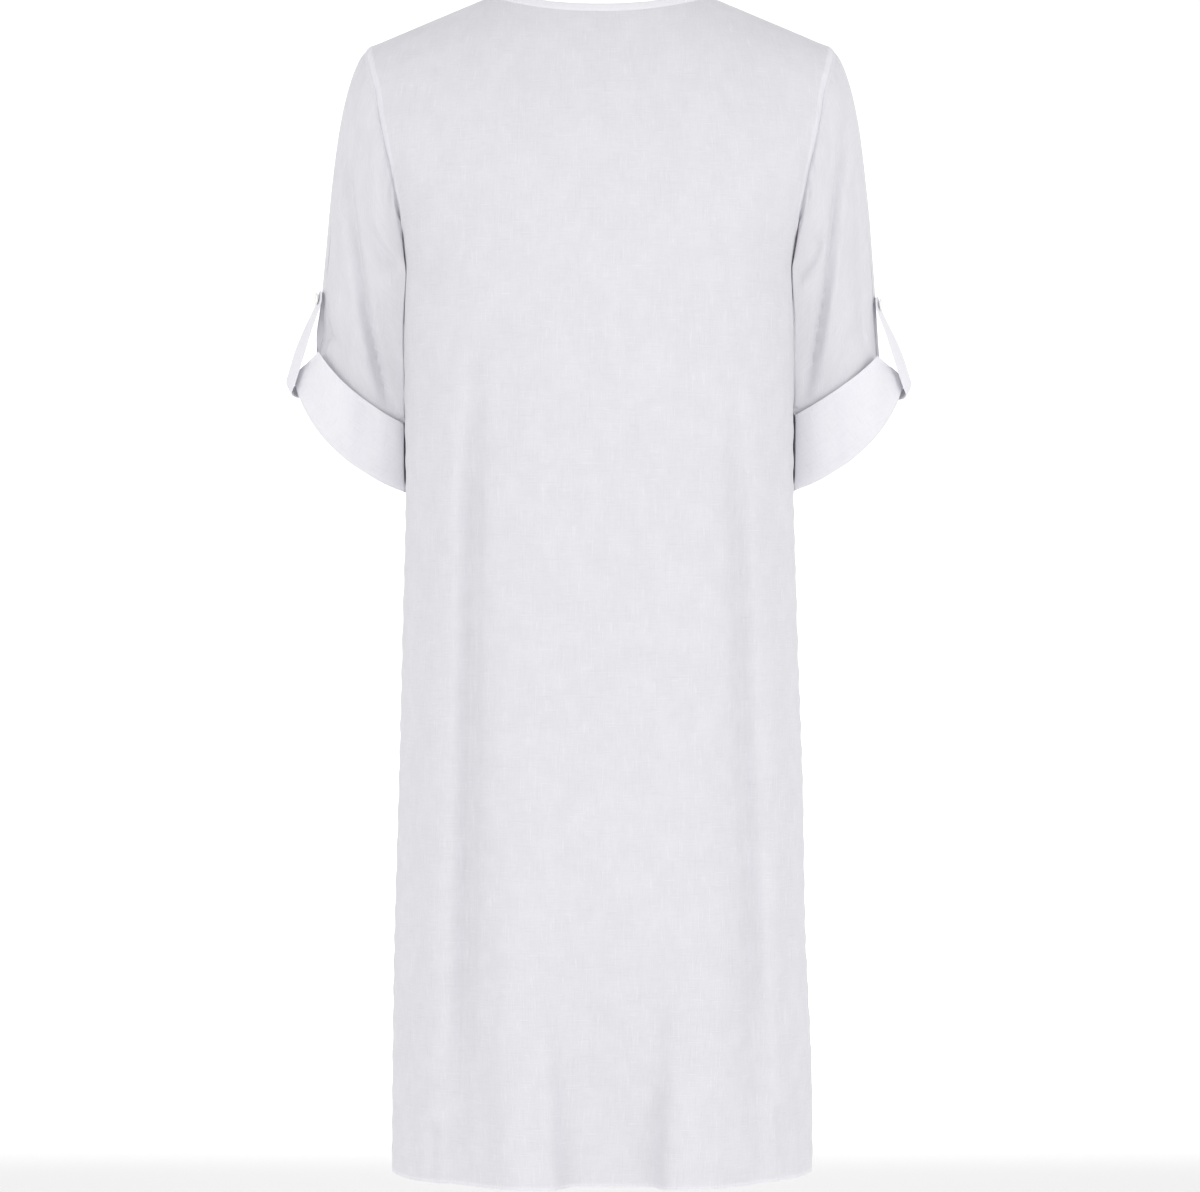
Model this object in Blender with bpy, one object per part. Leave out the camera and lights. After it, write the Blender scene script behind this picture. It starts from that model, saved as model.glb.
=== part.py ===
"""A half-sleeved linen dress with turned-up cuffs, filled out as it hangs on a wearer.

Metres, +Z up. The front faces -Y and the wearer's left is +X. The origin is level with the
shoulder seams' neck ends, in the middle of the neck opening.
"""

import math
from collections import namedtuple

import bmesh
import bpy
import numpy as np

# Walls and gaps
CLOTH = 0.0016
CUFF_CLOTH = 0.0020
TAB_CLOTH = 0.0018
BAND_CLOTH = 0.0020
SEAM_GAP = 0.0003
FOLD_GAP = 0.0006

# Heights
HEM_Z = -1.027
UNDERARM_Z = -0.238
SHOULDER_TIP_Z = -0.044
NECK_POINT_Z = 0.0
BACK_NECK_Z = -0.0195
FRONT_NECK_Z = -0.094
CROWN_Z = 0.0212
BAND_HEIGHT = 0.0085

# Widths from the middle line
NECK_POINT_X = 0.101
SHOULDER_TIP_X = 0.206

# Body sections are superellipses, and the upper body rounds over to the shoulder seams
SECTION_POWER = 2.3
BACK_CROWN_POWER = 2.0
FRONT_CROWN_POWER = 1.6
BODY_SPREAD = 0.28
BODY_SPREAD_SOFTNESS = 0.060
ARMHOLE_SHIFT_FADE = 0.060

BodyRow = namedtuple("BodyRow", "z left right back front")
BODY_ROWS = (
    BodyRow(-1.027, 0.1825, 0.1865, 0.148, 0.138),
    BodyRow(-0.935, 0.1820, 0.1855, 0.145, 0.135),
    BodyRow(-0.825, 0.1805, 0.1805, 0.141, 0.131),
    BodyRow(-0.690, 0.1765, 0.1780, 0.137, 0.126),
    BodyRow(-0.560, 0.1735, 0.1735, 0.133, 0.121),
    BodyRow(-0.430, 0.1705, 0.1700, 0.130, 0.120),
    BodyRow(-0.330, 0.1720, 0.1700, 0.129, 0.124),
    BodyRow(-0.238, 0.1720, 0.1700, 0.128, 0.124),
)

# The armhole edge of both panels, x from the middle line
ArmholeRow = namedtuple("ArmholeRow", "z x")
ARMHOLE_ROWS = (
    ArmholeRow(-0.238, 0.1720),
    ArmholeRow(-0.202, 0.1740),
    ArmholeRow(-0.171, 0.1790),
    ArmholeRow(-0.135, 0.1870),
    ArmholeRow(-0.113, 0.1915),
    ArmholeRow(-0.090, 0.1950),
    ArmholeRow(-0.067, 0.2010),
    ArmholeRow(-0.044, 0.2060),
)

# Long soft folds of the panels: a path down the cloth, seen from straight behind or in front.
# A positive depth is a trough and a negative one is a ridge.
Fold = namedtuple("Fold", "top_x top_z mid_x mid_z low_x low_z top_depth low_depth top_width low_width")
BACK_FOLDS = (
    Fold(0.108, -0.300, 0.112, -0.600, 0.120, -1.027, 0.0015, 0.0110, 0.014, 0.024),
    Fold(-0.117, -0.330, -0.124, -0.660, -0.139, -1.027, 0.0015, 0.0095, 0.014, 0.022),
    Fold(0.070, -0.560, 0.072, -0.800, 0.074, -1.027, 0.0, -0.0040, 0.022, 0.026),
    Fold(-0.086, -0.560, -0.090, -0.800, -0.092, -1.027, 0.0, -0.0045, 0.022, 0.026),
)
FRONT_FOLDS = (
    Fold(0.096, -0.300, 0.100, -0.620, 0.112, -1.027, 0.0010, 0.0110, 0.015, 0.026),
    Fold(0.020, -0.520, 0.024, -0.760, 0.034, -1.027, 0.0, 0.0090, 0.016, 0.026),
    Fold(-0.064, -0.420, -0.058, -0.700, -0.048, -1.027, 0.0, 0.0100, 0.016, 0.026),
    Fold(-0.124, -0.340, -0.128, -0.660, -0.136, -1.027, 0.0010, 0.0080, 0.014, 0.022),
)

# The soft inverted pleat in the middle of the back, which opens out towards the hem
PleatEdge = namedtuple("PleatEdge", "top_x top_z hem_x")
PLEAT_LEFT = PleatEdge(0.046, -0.757, 0.032)
PLEAT_RIGHT = PleatEdge(-0.062, -0.722, -0.050)
PLEAT_DEPTH = 0.034
PLEAT_TOP_TURN = 0.016
PLEAT_HEM_TURN = 0.0065

# Grid of a panel
BACK_COLUMNS = 37
FRONT_COLUMNS = 25
LOWER_ROWS = 13
UPPER_STEPS = 10
UPPER_STEP_POWER = 1.75
EDGE_ANGLE = math.radians(3.3)
NECK_COLUMN = 0.62

# Sleeves
SLEEVE_STEPS = (0.05, 0.12, 0.22, 0.35, 0.50, 0.64, 0.78, 0.90)
BODY_CLEARANCE = 0.0016
CREASE_TURN = 0.5

# A sleeve's way out of the armhole and into the cuff: a mean, what is added on its outer side and
# taken off on its inner side, and a lean to the front
Way = namedtuple("Way", "mean_x side_x lean_y inner_y mean_z side_z")
LEAVING = Way(0.058, 0.040, 0.022, -0.010, -0.062, -0.060)
ARRIVING = Way(0.014, 0.019, -0.008, 0.0, -0.225, -0.075)

# The inner side of a sleeve rests on the body: from which share of the way round, and how soon
LEAN_FROM = 0.60
LEAN_TURN = 0.25
LEAN_START = 0.012
LEAN_RISE = 0.060

# The cuff's lower and upper rings. A ring is widest from its outer to its inner end. The tab pulls
# its outer end, up to the level angle, and from there it hangs down to the body.
RingRow = namedtuple("RingRow", "outer_x inner_x middle_y half_depth top_z dip level drop hang")
CUFF_LOWER = {
    "left": RingRow(0.2755, 0.1650, -0.048, 0.046, -0.334, 0.0, 20.0, 0.0985, 1.31),
    "right": RingRow(0.2735, 0.1640, -0.048, 0.046, -0.336, 0.0, 20.0, 0.0950, 1.32),
}
CUFF_UPPER = {
    "left": RingRow(0.2632, 0.1660, -0.044, 0.049, -0.309, 0.011, 45.0, 0.066, 1.18),
    "right": RingRow(0.2590, 0.1640, -0.044, 0.049, -0.3125, 0.009, 45.0, 0.057, 1.00),
}
CUFF_SWELL = 0.0015
CUFF_CLEARANCE = 0.0005
CUFF_SLACK = 0.0014
CUFF_RIM_STAND = 0.0025
CUFF_RIM_OPENING = 0.0075
CORNER_POWER = 5.0
CORNER_START = 0.3
TAB_SEAT_ANGLE = math.radians(18.0)

# The largest creases of each sleeve, seen from behind, as troughs down its back face
SLEEVE_FOLDS = {
    "left": (
        Fold(0.2300, -0.150, 0.2125, -0.262, 0.1760, -0.368, 0.0010, 0.0070, 0.008, 0.011),
        Fold(0.2320, -0.150, 0.2420, -0.241, 0.2445, -0.309, 0.0005, 0.0035, 0.006, 0.006),
    ),
    "right": (
        Fold(0.2120, -0.120, 0.1970, -0.238, 0.1730, -0.360, 0.0010, 0.0065, 0.008, 0.011),
        Fold(0.2300, -0.150, 0.2330, -0.250, 0.2350, -0.318, 0.0005, 0.0040, 0.006, 0.006),
    ),
}

# Tabs and buttons
TAB_WIDTH = 0.020
TAB_TOP_Z = {"left": -0.254, "right": -0.259}
TAB_TOP_ANGLE = math.radians(12.0)
TAB_LAY_LENGTH = 0.013
TAB_SEAT_SPREAD = math.radians(12.0)
TAB_SEAT_LIFT = 0.0009
TAB_FREE_LIFT = 0.0026
TAB_BOW = 0.0012
TAB_CUFF_REACH = 0.008
TAB_FOLD_LIFT = 0.0006
TAB_FOLD_ROOM = 0.0046
TAB_INNER_DEPTH = 0.0122
TAB_INNER_LENGTH = 0.010
TAB_INNER_LEAN = 0.014
TAB_END_NARROWING = 0.62
BUTTON_SHARE = 0.55
BUTTON_RADIUS = 0.0055
BUTTON_THICKNESS = 0.0026
BUTTON_SEGMENTS = 18

# The button's profile, from the middle of its back over its rim to the middle of its face
ButtonRow = namedtuple("ButtonRow", "radius height")
BUTTON_ROWS = (
    ButtonRow(0.0, 0.0),
    ButtonRow(0.70, 0.0),
    ButtonRow(1.0, 0.35),
    ButtonRow(1.0, 0.75),
    ButtonRow(0.88, 1.0),
    ButtonRow(0.72, 0.72),
    ButtonRow(0.0, 0.62),
)

Panel = namedtuple("Panel", "places outer inner")

Finish = namedtuple("Finish", "colour roughness")
LINEN = Finish((0.80, 0.79, 0.83), 0.90)
LINEN_DOUBLE = Finish((0.86, 0.86, 0.90), 0.88)
PEARL = Finish((0.88, 0.88, 0.86), 0.35)


def clear_scene():
    for old in list(bpy.data.objects):
        bpy.data.objects.remove(old, do_unlink=True)


def unit(vectors):
    """Vectors along the last axis, made one long."""
    vectors = np.asarray(vectors, dtype=float)
    length = np.linalg.norm(vectors, axis=-1, keepdims=True)
    return vectors / np.maximum(length, 1e-12)


def ease(value):
    """0 to 1 on a smooth step."""
    value = min(max(value, 0.0), 1.0)
    return value * value * (3.0 - 2.0 * value)


def table_value(rows, field, z):
    """One column of a table at height z, on a smooth curve through its rows."""
    heights = np.array([row.z for row in rows])
    values = np.array([getattr(row, field) for row in rows])
    slopes = np.gradient(values, heights)
    z = min(max(z, heights[0]), heights[-1])
    low = min(max(int(np.searchsorted(heights, z)) - 1, 0), len(rows) - 2)
    span = heights[low + 1] - heights[low]
    t = (z - heights[low]) / span
    return (
        values[low] * (1 + 2 * t) * (1 - t) ** 2
        + slopes[low] * span * t * (1 - t) ** 2
        + values[low + 1] * t * t * (3 - 2 * t)
        - slopes[low + 1] * span * t * t * (1 - t)
    )


def fold_offset(fold, x, z):
    """How far a fold moves the cloth inwards at a place seen from behind or in front."""
    if z > fold.top_z:
        return 0.0
    along = (fold.top_z - z) / (fold.top_z - fold.low_z)
    middle = (fold.top_z - fold.mid_z) / (fold.top_z - fold.low_z)
    path = np.polyfit((0.0, middle, 1.0), (fold.top_x, fold.mid_x, fold.low_x), 2)
    width = fold.top_width + (fold.low_width - fold.top_width) * min(along, 1.0)
    depth = fold.top_depth + (fold.low_depth - fold.top_depth) * min(along, 1.0)
    start = ease(along / 0.15)
    return depth * start * math.exp(-(((x - np.polyval(path, along)) / width) ** 2))


def pleat_offset(x, z):
    """How far the soft inverted pleat of the back moves the cloth inwards."""
    insides = []
    opening = 0.0
    for edge, sign in ((PLEAT_LEFT, 1.0), (PLEAT_RIGHT, -1.0)):
        along = (edge.top_z - z) / (edge.top_z - HEM_Z)
        opening += 0.5 * ease(along)
        along = min(max(along, 0.0), 1.0)
        edge_x = edge.top_x + (edge.hem_x - edge.top_x) * along
        turn = PLEAT_TOP_TURN + (PLEAT_HEM_TURN - PLEAT_TOP_TURN) * along
        insides.append(1.0 / (1.0 + math.exp(min(sign * (x - edge_x) / (0.5 * turn), 50.0))))
    return PLEAT_DEPTH * opening * insides[0] * insides[1]


def shoulder_z(x):
    """Height of the shoulder line, which levels off towards a crown over the neck opening."""
    x = abs(x)
    if x >= NECK_POINT_X:
        along = (x - NECK_POINT_X) / (SHOULDER_TIP_X - NECK_POINT_X)
        return NECK_POINT_Z + (SHOULDER_TIP_Z - NECK_POINT_Z) * along
    return NECK_POINT_Z + (CROWN_Z - NECK_POINT_Z) * (1.0 - (x / NECK_POINT_X) ** 2)


def neck_z(side, x):
    """Height of the neck edge on the back (side 1) or the front (side -1)."""
    share = min(abs(x) / NECK_POINT_X, 1.0)
    if side > 0:
        return BACK_NECK_Z + (NECK_POINT_Z - BACK_NECK_Z) * share ** 2.2
    return NECK_POINT_Z - (NECK_POINT_Z - FRONT_NECK_Z) * (1.0 - share ** 2.2) ** (1 / 2.2)


def body_half_width(place, z):
    return table_value(BODY_ROWS, "left" if place > 0 else "right", z)


def section_depth(side, z):
    return table_value(BODY_ROWS, "back" if side > 0 else "front", z)


def armhole_x(place, z):
    """Distance of the armhole's edge from the middle line."""
    shift = body_half_width(place, UNDERARM_Z) - ARMHOLE_ROWS[0].x
    fade = 1.0 - ease((z - UNDERARM_Z) / ARMHOLE_SHIFT_FADE)
    return table_value(ARMHOLE_ROWS, "x", z) + shift * fade


def upper_half_width(place, z):
    """Half width of the whole upper body's section, which the armhole cuts into."""
    rise = z - UNDERARM_Z
    return armhole_x(place, z) + BODY_SPREAD * rise * rise / (rise + BODY_SPREAD_SOFTNESS)


def body_side_x(hand, y, z):
    """Distance of the body's side from the middle line, at a depth and a height."""
    side = 1 if y > 0 else -1
    share = min(abs(y) / section_depth(side, z), 1.0)
    return body_half_width(hand, z) * (1.0 - share ** SECTION_POWER) ** (1 / SECTION_POWER)


def lower_point(side, place, z):
    """A point of a panel below the armholes. Place runs from -1, right seam, to 1, left seam."""
    x = place * body_half_width(place, z)
    share = max(1.0 - abs(place) ** SECTION_POWER, 0.0) ** (1 / SECTION_POWER)
    y = section_depth(side, z) * share
    folds = BACK_FOLDS if side > 0 else FRONT_FOLDS
    inwards = sum(fold_offset(fold, x, z) for fold in folds)
    if side > 0:
        inwards += pleat_offset(x, z)
    near_seam = ease((1.0 - abs(place)) / 0.08)
    y = max(y - inwards * near_seam, 0.5 * SEAM_GAP)
    return (x, side * y, z)


def top_x(place):
    """Where a column of a panel ends, on the neck edge or the shoulder seam."""
    if abs(place) <= NECK_COLUMN:
        return NECK_POINT_X * math.sin(0.5 * math.pi * place / NECK_COLUMN)
    beyond = (abs(place) - NECK_COLUMN) / (1.0 - NECK_COLUMN)
    return math.copysign(NECK_POINT_X + (SHOULDER_TIP_X - NECK_POINT_X) * beyond, place)


def upper_point(side, place, step):
    """A point of a panel above the underarm. The last step is the neck edge or shoulder seam."""
    power = BACK_CROWN_POWER if side > 0 else FRONT_CROWN_POWER
    end_x = top_x(place)
    crown_rise = shoulder_z(end_x) - UNDERARM_Z
    top_angle = 0.5 * math.pi
    if abs(place) < NECK_COLUMN - 1e-6:
        reach = (neck_z(side, end_x) - UNDERARM_Z) / crown_rise
        top_angle = math.asin(min(reach, 1.0) ** (power / 2))
    share = min(step / UPPER_STEPS, 1.0) ** UPPER_STEP_POWER
    last = step > UPPER_STEPS
    angle = top_angle if last else (top_angle - EDGE_ANGLE) * share
    seam_angle = 0.5 * math.pi if last else (0.5 * math.pi - EDGE_ANGLE) * share
    z = UNDERARM_Z + crown_rise * math.sin(angle) ** (2 / power)
    edge_z = UNDERARM_Z + (SHOULDER_TIP_Z - UNDERARM_Z) * math.sin(seam_angle) ** (2 / power)
    blend = ease(share)
    x = armhole_x(place, edge_z) * (place * (1.0 - blend) + end_x / SHOULDER_TIP_X * blend)
    width = upper_half_width(place, max(z, UNDERARM_Z))
    inside = max(1.0 - (abs(x) / width) ** SECTION_POWER, 0.0) ** (1 / SECTION_POWER)
    y = section_depth(side, UNDERARM_Z) * inside * max(math.cos(angle), 0.0) ** (2 / power)
    return (x, side * max(y, 0.5 * SEAM_GAP), z)


def column_places(count, sharp_places):
    """Places of a panel's columns, closer together at its side seams and at sharp turns."""
    fine = np.linspace(-1.0, 1.0, 4001)
    density = 1.0 / np.sqrt(1.02 - fine ** 2)
    for place in sharp_places:
        density += 2.2 * np.exp(-(((fine - place) / 0.07) ** 2))
    total = np.concatenate(([0.0], np.cumsum(0.5 * (density[1:] + density[:-1]))))
    places = np.interp(np.linspace(0.0, total[-1], count), total, fine)
    for target in (-NECK_COLUMN, NECK_COLUMN):
        places[int(np.argmin(np.abs(places - target)))] = target
    return places


def panel_grid(side):
    """Outer points of the back (side 1) or front (side -1) panel, in rows from the hem up."""
    if side > 0:
        sharp = [PLEAT_LEFT.hem_x / BODY_ROWS[0].left, PLEAT_RIGHT.hem_x / BODY_ROWS[0].right]
        places = column_places(BACK_COLUMNS, sharp)
    else:
        places = column_places(FRONT_COLUMNS, [])
    heights = HEM_Z + (UNDERARM_Z - HEM_Z) * np.linspace(0.0, 1.0, LOWER_ROWS + 1)
    rows = [[lower_point(side, place, z) for place in places] for z in heights]
    for step in range(1, UPPER_STEPS + 2):
        rows.append([upper_point(side, place, step) for place in places])
    return places, np.array(rows)


def grid_normals(grid, outward, wrap=False):
    """Unit normals of a grid of points, on the side that the outward vectors point to."""
    down = np.gradient(grid, axis=0)
    if wrap:
        across = 0.5 * (np.roll(grid, -1, axis=1) - np.roll(grid, 1, axis=1))
    else:
        across = np.gradient(grid, axis=1)
    normals = unit(np.cross(across, down))
    facing = np.sum(normals * outward, axis=-1)
    return normals * np.where(facing.sum() < 0, -1.0, 1.0)


def panel_walls(side):
    """The back (side 1) or front (side -1) panel as two grids of points, a wall apart."""
    places, outer = panel_grid(side)
    outward = np.zeros_like(outer)
    outward[..., 1] = side
    normals = grid_normals(outer, outward)
    underarm_row = LOWER_ROWS
    normals[: underarm_row + 1, 0, 1] = 0.0
    normals[: underarm_row + 1, -1, 1] = 0.0
    shoulder = np.abs(places) >= NECK_COLUMN - 1e-6
    normals[-1, shoulder, 1] = 0.0
    return Panel(places, outer, outer - CLOTH * unit(normals))


def closed_wall(outer, inner, wrap):
    """Vertices and faces of a closed wall between two grids, open-ended or a ring."""
    rows, columns = outer.shape[:2]
    vertices = [tuple(point) for point in outer.reshape(-1, 3)]
    vertices += [tuple(point) for point in inner.reshape(-1, 3)]
    shift = rows * columns
    faces = []
    spans = columns if wrap else columns - 1
    for row in range(rows - 1):
        for column in range(spans):
            right = (column + 1) % columns
            a = row * columns + column
            b = row * columns + right
            c = (row + 1) * columns + right
            d = (row + 1) * columns + column
            faces.append((a, b, c, d))
            faces.append((a + shift, d + shift, c + shift, b + shift))
    for column in range(spans):
        right = (column + 1) % columns
        for row in (0, rows - 1):
            a = row * columns + column
            b = row * columns + right
            faces.append((a, a + shift, b + shift, b))
    if not wrap:
        for row in range(rows - 1):
            for column in (0, columns - 1):
                a = row * columns + column
                b = (row + 1) * columns + column
                faces.append((a, b, b + shift, a + shift))
    return vertices, faces


def ring_of_sections(sections, closed):
    """A solid swept through sections of equal point counts, each section a closed polygon."""
    count = len(sections)
    corners = len(sections[0])
    vertices = [tuple(point) for section in sections for point in section]
    faces = []
    for index in range(count if closed else count - 1):
        following = (index + 1) % count
        for corner in range(corners):
            after = (corner + 1) % corners
            faces.append((
                index * corners + corner,
                index * corners + after,
                following * corners + after,
                following * corners + corner,
            ))
    if not closed:
        faces.append(tuple(range(corners)))
        faces.append(tuple((count - 1) * corners + corner for corner in range(corners)))
    return vertices, faces


def add_object(name, vertices, faces, finish):
    """A named object with its own material and its faces turned outwards."""
    mesh = bpy.data.meshes.new(name)
    mesh.from_pydata(vertices, [], faces)
    work = bmesh.new()
    work.from_mesh(mesh)
    bmesh.ops.recalc_face_normals(work, faces=work.faces)
    work.to_mesh(mesh)
    work.free()
    mesh.shade_smooth()
    mesh.set_sharp_from_angle(angle=math.radians(50))
    material = bpy.data.materials.new(name)
    material.use_nodes = True
    shader = material.node_tree.nodes["Principled BSDF"]
    shader.inputs["Base Color"].default_value = (*finish.colour, 1.0)
    shader.inputs["Roughness"].default_value = finish.roughness
    mesh.materials.append(material)
    placed = bpy.data.objects.new(name, mesh)
    bpy.context.collection.objects.link(placed)
    return placed


def edge_ring(first_half, second_half, outwards):
    """A ring just off the panels' cut edges. Each half is the edge's outer and inner points, in order
    round the opening, and the halves share their ends."""
    loops = []
    for one, other in zip(first_half, second_half):
        start = 0.5 * (one[0] + other[-1])
        turn = 0.5 * (one[-1] + other[0])
        loops.append(np.vstack([start, one[1:-1], turn, other[1:-1]]))
    outer, inner = loops
    along = np.roll(outer, -1, axis=0) - np.roll(outer, 1, axis=0)
    looks = unit(np.cross(along, inner - outer))
    if np.sum(looks * outwards) < 0:
        looks = -looks
    return outer + SEAM_GAP * looks, inner + SEAM_GAP * looks, looks


def armhole_ring(back, front, hand):
    """The sleeve's first ring: from the shoulder tip down the back's armhole and up the front's."""
    column = -1 if hand > 0 else 0
    down_back = [grid[LOWER_ROWS:, column][::-1] for grid in (back.outer, back.inner)]
    up_front = [grid[LOWER_ROWS:, column] for grid in (front.outer, front.inner)]
    outer, inner, _ = edge_ring(down_back, up_front, np.array([hand, 0.0, 0.0]))
    return doubled(outer), doubled(inner)


def neck_ring(back, front):
    """The neck band's first ring: across the back's neck edge, then across the front's."""
    halves = []
    for panel, step in ((back, -1), (front, 1)):
        columns = np.flatnonzero(np.abs(panel.places) <= NECK_COLUMN + 1e-6)[::step]
        halves.append([grid[-1, columns] for grid in (panel.outer, panel.inner)])
    return edge_ring(*halves, np.array([0.0, 0.0, 1.0]))


def neck_band(back, front):
    """Outer and inner points of the band that finishes the neck, rising from the panels' edges."""
    outer, inner, looks = neck_ring(back, front)
    rise = unit(looks + np.array([0.0, 0.0, 0.25]))
    rings = np.array([outer, outer + 0.5 * BAND_HEIGHT * looks, outer + BAND_HEIGHT * rise])
    away = rings - np.array([0.0, 0.0, UNDERARM_Z])
    normals = grid_normals(rings, away, wrap=True)
    inner_rings = rings - BAND_CLOTH * normals
    inner_rings[0] = inner
    return rings, inner_rings


def doubled(loop):
    """A closed loop of points with one more point half way along each side."""
    halfway = 0.5 * (loop + np.roll(loop, -1, axis=0))
    return np.stack([loop, halfway], axis=1).reshape(-1, 3)


def ring_angles(loop):
    """An angle for each point of the armhole ring: 0 at the shoulder tip, pi at the underarm."""
    count = len(loop)
    sides = np.linalg.norm(np.roll(loop, -1, axis=0) - loop, axis=1)
    travelled = np.concatenate(([0.0], np.cumsum(sides)))
    half = count // 2
    back = math.pi * travelled[: half + 1] / travelled[half]
    front = math.pi + math.pi * (travelled[half:-1] - travelled[half]) / (
        travelled[-1] - travelled[half]
    )
    return np.concatenate([back, front[1:]])


def corner_reach(angles):
    """How much farther out than on an ellipse the cloth lies, where it turns in behind the body."""
    turn = np.abs(np.cos(angles)) ** CORNER_POWER + np.abs(np.sin(angles)) ** CORNER_POWER
    behind = (angles > 0.5 * math.pi) & (angles < math.pi)
    return np.where(behind, turn ** (-1 / CORNER_POWER), 1.0)


def cuff_ring(row, angles, hand):
    """Points round the lower or upper edge of a cuff."""
    middle_x = 0.5 * (row.outer_x + row.inner_x)
    half_width = 0.5 * (row.outer_x - row.inner_x)
    reach = corner_reach(angles)
    x = middle_x + half_width * reach * np.cos(angles)
    y = row.middle_y + row.half_depth * reach * np.sin(angles)
    turned = np.arccos(np.clip((x - middle_x) / half_width, -1.0, 1.0))
    level = math.radians(row.level)
    dip = row.dip * np.maximum(1.0 - (turned / level) ** 2, 0.0)
    fall = np.maximum(turned - level, 0.0) / (math.pi - level)
    z = row.top_z - dip - row.drop * np.sin(0.5 * math.pi * (1.0 - (1.0 - fall) ** row.hang))
    return np.stack([hand * x, y, z], axis=1)


CuffFrame = namedtuple("CuffFrame", "low high up out swell")


def cuff_frame(name, angles, hand):
    """The cuff's lower and upper edge points, its up and outward directions and its swell there."""
    low = keep_clear_of_body(cuff_ring(CUFF_LOWER[name], angles, hand), hand, CUFF_CLEARANCE)
    high = keep_clear_of_body(cuff_ring(CUFF_UPPER[name], angles, hand), hand, CUFF_CLEARANCE)
    up = unit(high - low)
    along = np.roll(low, -1, axis=0) - np.roll(low, 1, axis=0)
    along += np.roll(high, -1, axis=0) - np.roll(high, 1, axis=0)
    out = unit(np.cross(along, up))
    centre = 0.5 * (low.mean(axis=0) + high.mean(axis=0))
    if np.sum(out * (low - centre)) < 0:
        out = -out
    outward = 0.5 * (1.0 + np.cos(angles))
    return CuffFrame(low, high, up, out, CUFF_SWELL * outward[:, None] * out)


def cuff_sections(cuff):
    """The cuff's wall in section at each angle, with a lip folded in under the sleeve's end."""
    low, high, up, out, swell = cuff
    lip = CUFF_CLOTH + FOLD_GAP + CLOTH
    middle = 0.5 * (low + high) + swell
    rounding = 0.6 * CUFF_CLOTH
    section = (
        high,
        middle,
        low + rounding * up,
        low - rounding * out,
        low - lip * out,
        low - lip * out + CUFF_CLOTH * up,
        low - CUFF_CLOTH * out + CUFF_CLOTH * up,
        middle - CUFF_CLOTH * out,
        high - CUFF_CLOTH * out,
    )
    return np.stack(section, axis=1)


def way_directions(way, angles, hand):
    """The slope of a sleeve's surface at one of its ends, all round."""
    turn = np.cos(angles)
    inward = 0.5 * (1.0 - turn)
    x = way.mean_x + way.side_x * turn
    y = way.lean_y * np.sin(angles) + way.inner_y * inward ** 4
    z = way.mean_z + way.side_z * turn
    return np.stack([hand * x, y, z], axis=1)


def sleeve_grid(name, hand, start, angles, cuff):
    """Outer points of a sleeve, in rings from the armhole down to the fold of the cuff."""
    outward = 0.5 * (1.0 + np.cos(angles))
    stand = CUFF_CLOTH + CUFF_RIM_STAND + CUFF_RIM_OPENING * outward ** 4
    rim = cuff.high - stand[:, None] * cuff.out
    middle = 0.5 * (cuff.low + cuff.high) + cuff.swell - (CUFF_CLOTH + CUFF_SLACK) * cuff.out
    end = cuff.low + (CUFF_CLOTH + FOLD_GAP) * (cuff.up - cuff.out)
    leave = way_directions(LEAVING, angles, hand)
    arrive = way_directions(ARRIVING, angles, hand)
    rings = [start]
    for step in SLEEVE_STEPS:
        ring = (
            start * (1 + 2 * step) * (1 - step) ** 2
            + leave * step * (1 - step) ** 2
            + rim * step * step * (3 - 2 * step)
            - arrive * step * step * (1 - step)
        )
        if step > 0.1:
            ring = turn_in_square(ring, angles, step)
            ring = keep_clear_of_body(lean_on_body(ring, 1.0 - outward, hand), hand, 0.0)
        rings.append(ring)
    rings += [rim, middle, end]
    grid = np.array(rings)
    away = grid - grid.mean(axis=1, keepdims=True)
    normals = grid_normals(grid, away, wrap=True)
    return crease(name, grid, normals, hand), normals


def turn_in_square(ring, angles, step):
    """Squares the corner where the back of a sleeve turns in behind the body's side."""
    more = ease(step / CORNER_START) - step * step * (3 - 2 * step)
    centre = ring.mean(axis=0)
    for point, reach in zip(ring, corner_reach(angles)):
        below = ease((UNDERARM_Z + LEAN_START - point[2]) / (2 * LEAN_START))
        point[:2] += below * more * (reach - 1.0) * (point[:2] - centre[:2])
    return ring


def lean_on_body(ring, inward, hand):
    """Draws the inner side of a ring in, to where the sleeve hangs against the body's side."""
    for point, share in zip(ring, inward):
        below = ease((UNDERARM_Z + LEAN_RISE - point[2]) / (LEAN_RISE + LEAN_START))
        pull = below * ease((share - LEAN_FROM) / LEAN_TURN)
        rest = body_side_x(hand, point[1], min(point[2], UNDERARM_Z)) + BODY_CLEARANCE
        rest += armhole_x(hand, max(point[2], UNDERARM_Z)) - armhole_x(hand, UNDERARM_Z)
        point[0] += hand * pull * min(rest - hand * point[0], 0.0)
    return ring


def keep_clear_of_body(ring, hand, extra):
    """Moves the inner side of a ring out to where the sleeve hangs against the body's side."""
    for point in ring:
        if point[2] < UNDERARM_Z:
            nearest = body_side_x(hand, point[1], point[2]) + BODY_CLEARANCE + extra
            point[0] = hand * max(hand * point[0], nearest)
    return ring


def crease(name, grid, normals, hand):
    """Presses a sleeve's creases into its back face, away from its two ends."""
    creased = grid.copy()
    for row in range(2, len(grid) - 3):
        for column in range(grid.shape[1]):
            x, _, z = grid[row, column]
            facing = max(normals[row, column, 1], 0.0)
            depth = sum(fold_offset(fold, hand * x, z) for fold in SLEEVE_FOLDS[name])
            creased[row, column] -= depth * ease(facing / CREASE_TURN) * normals[row, column]
    return creased


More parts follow.
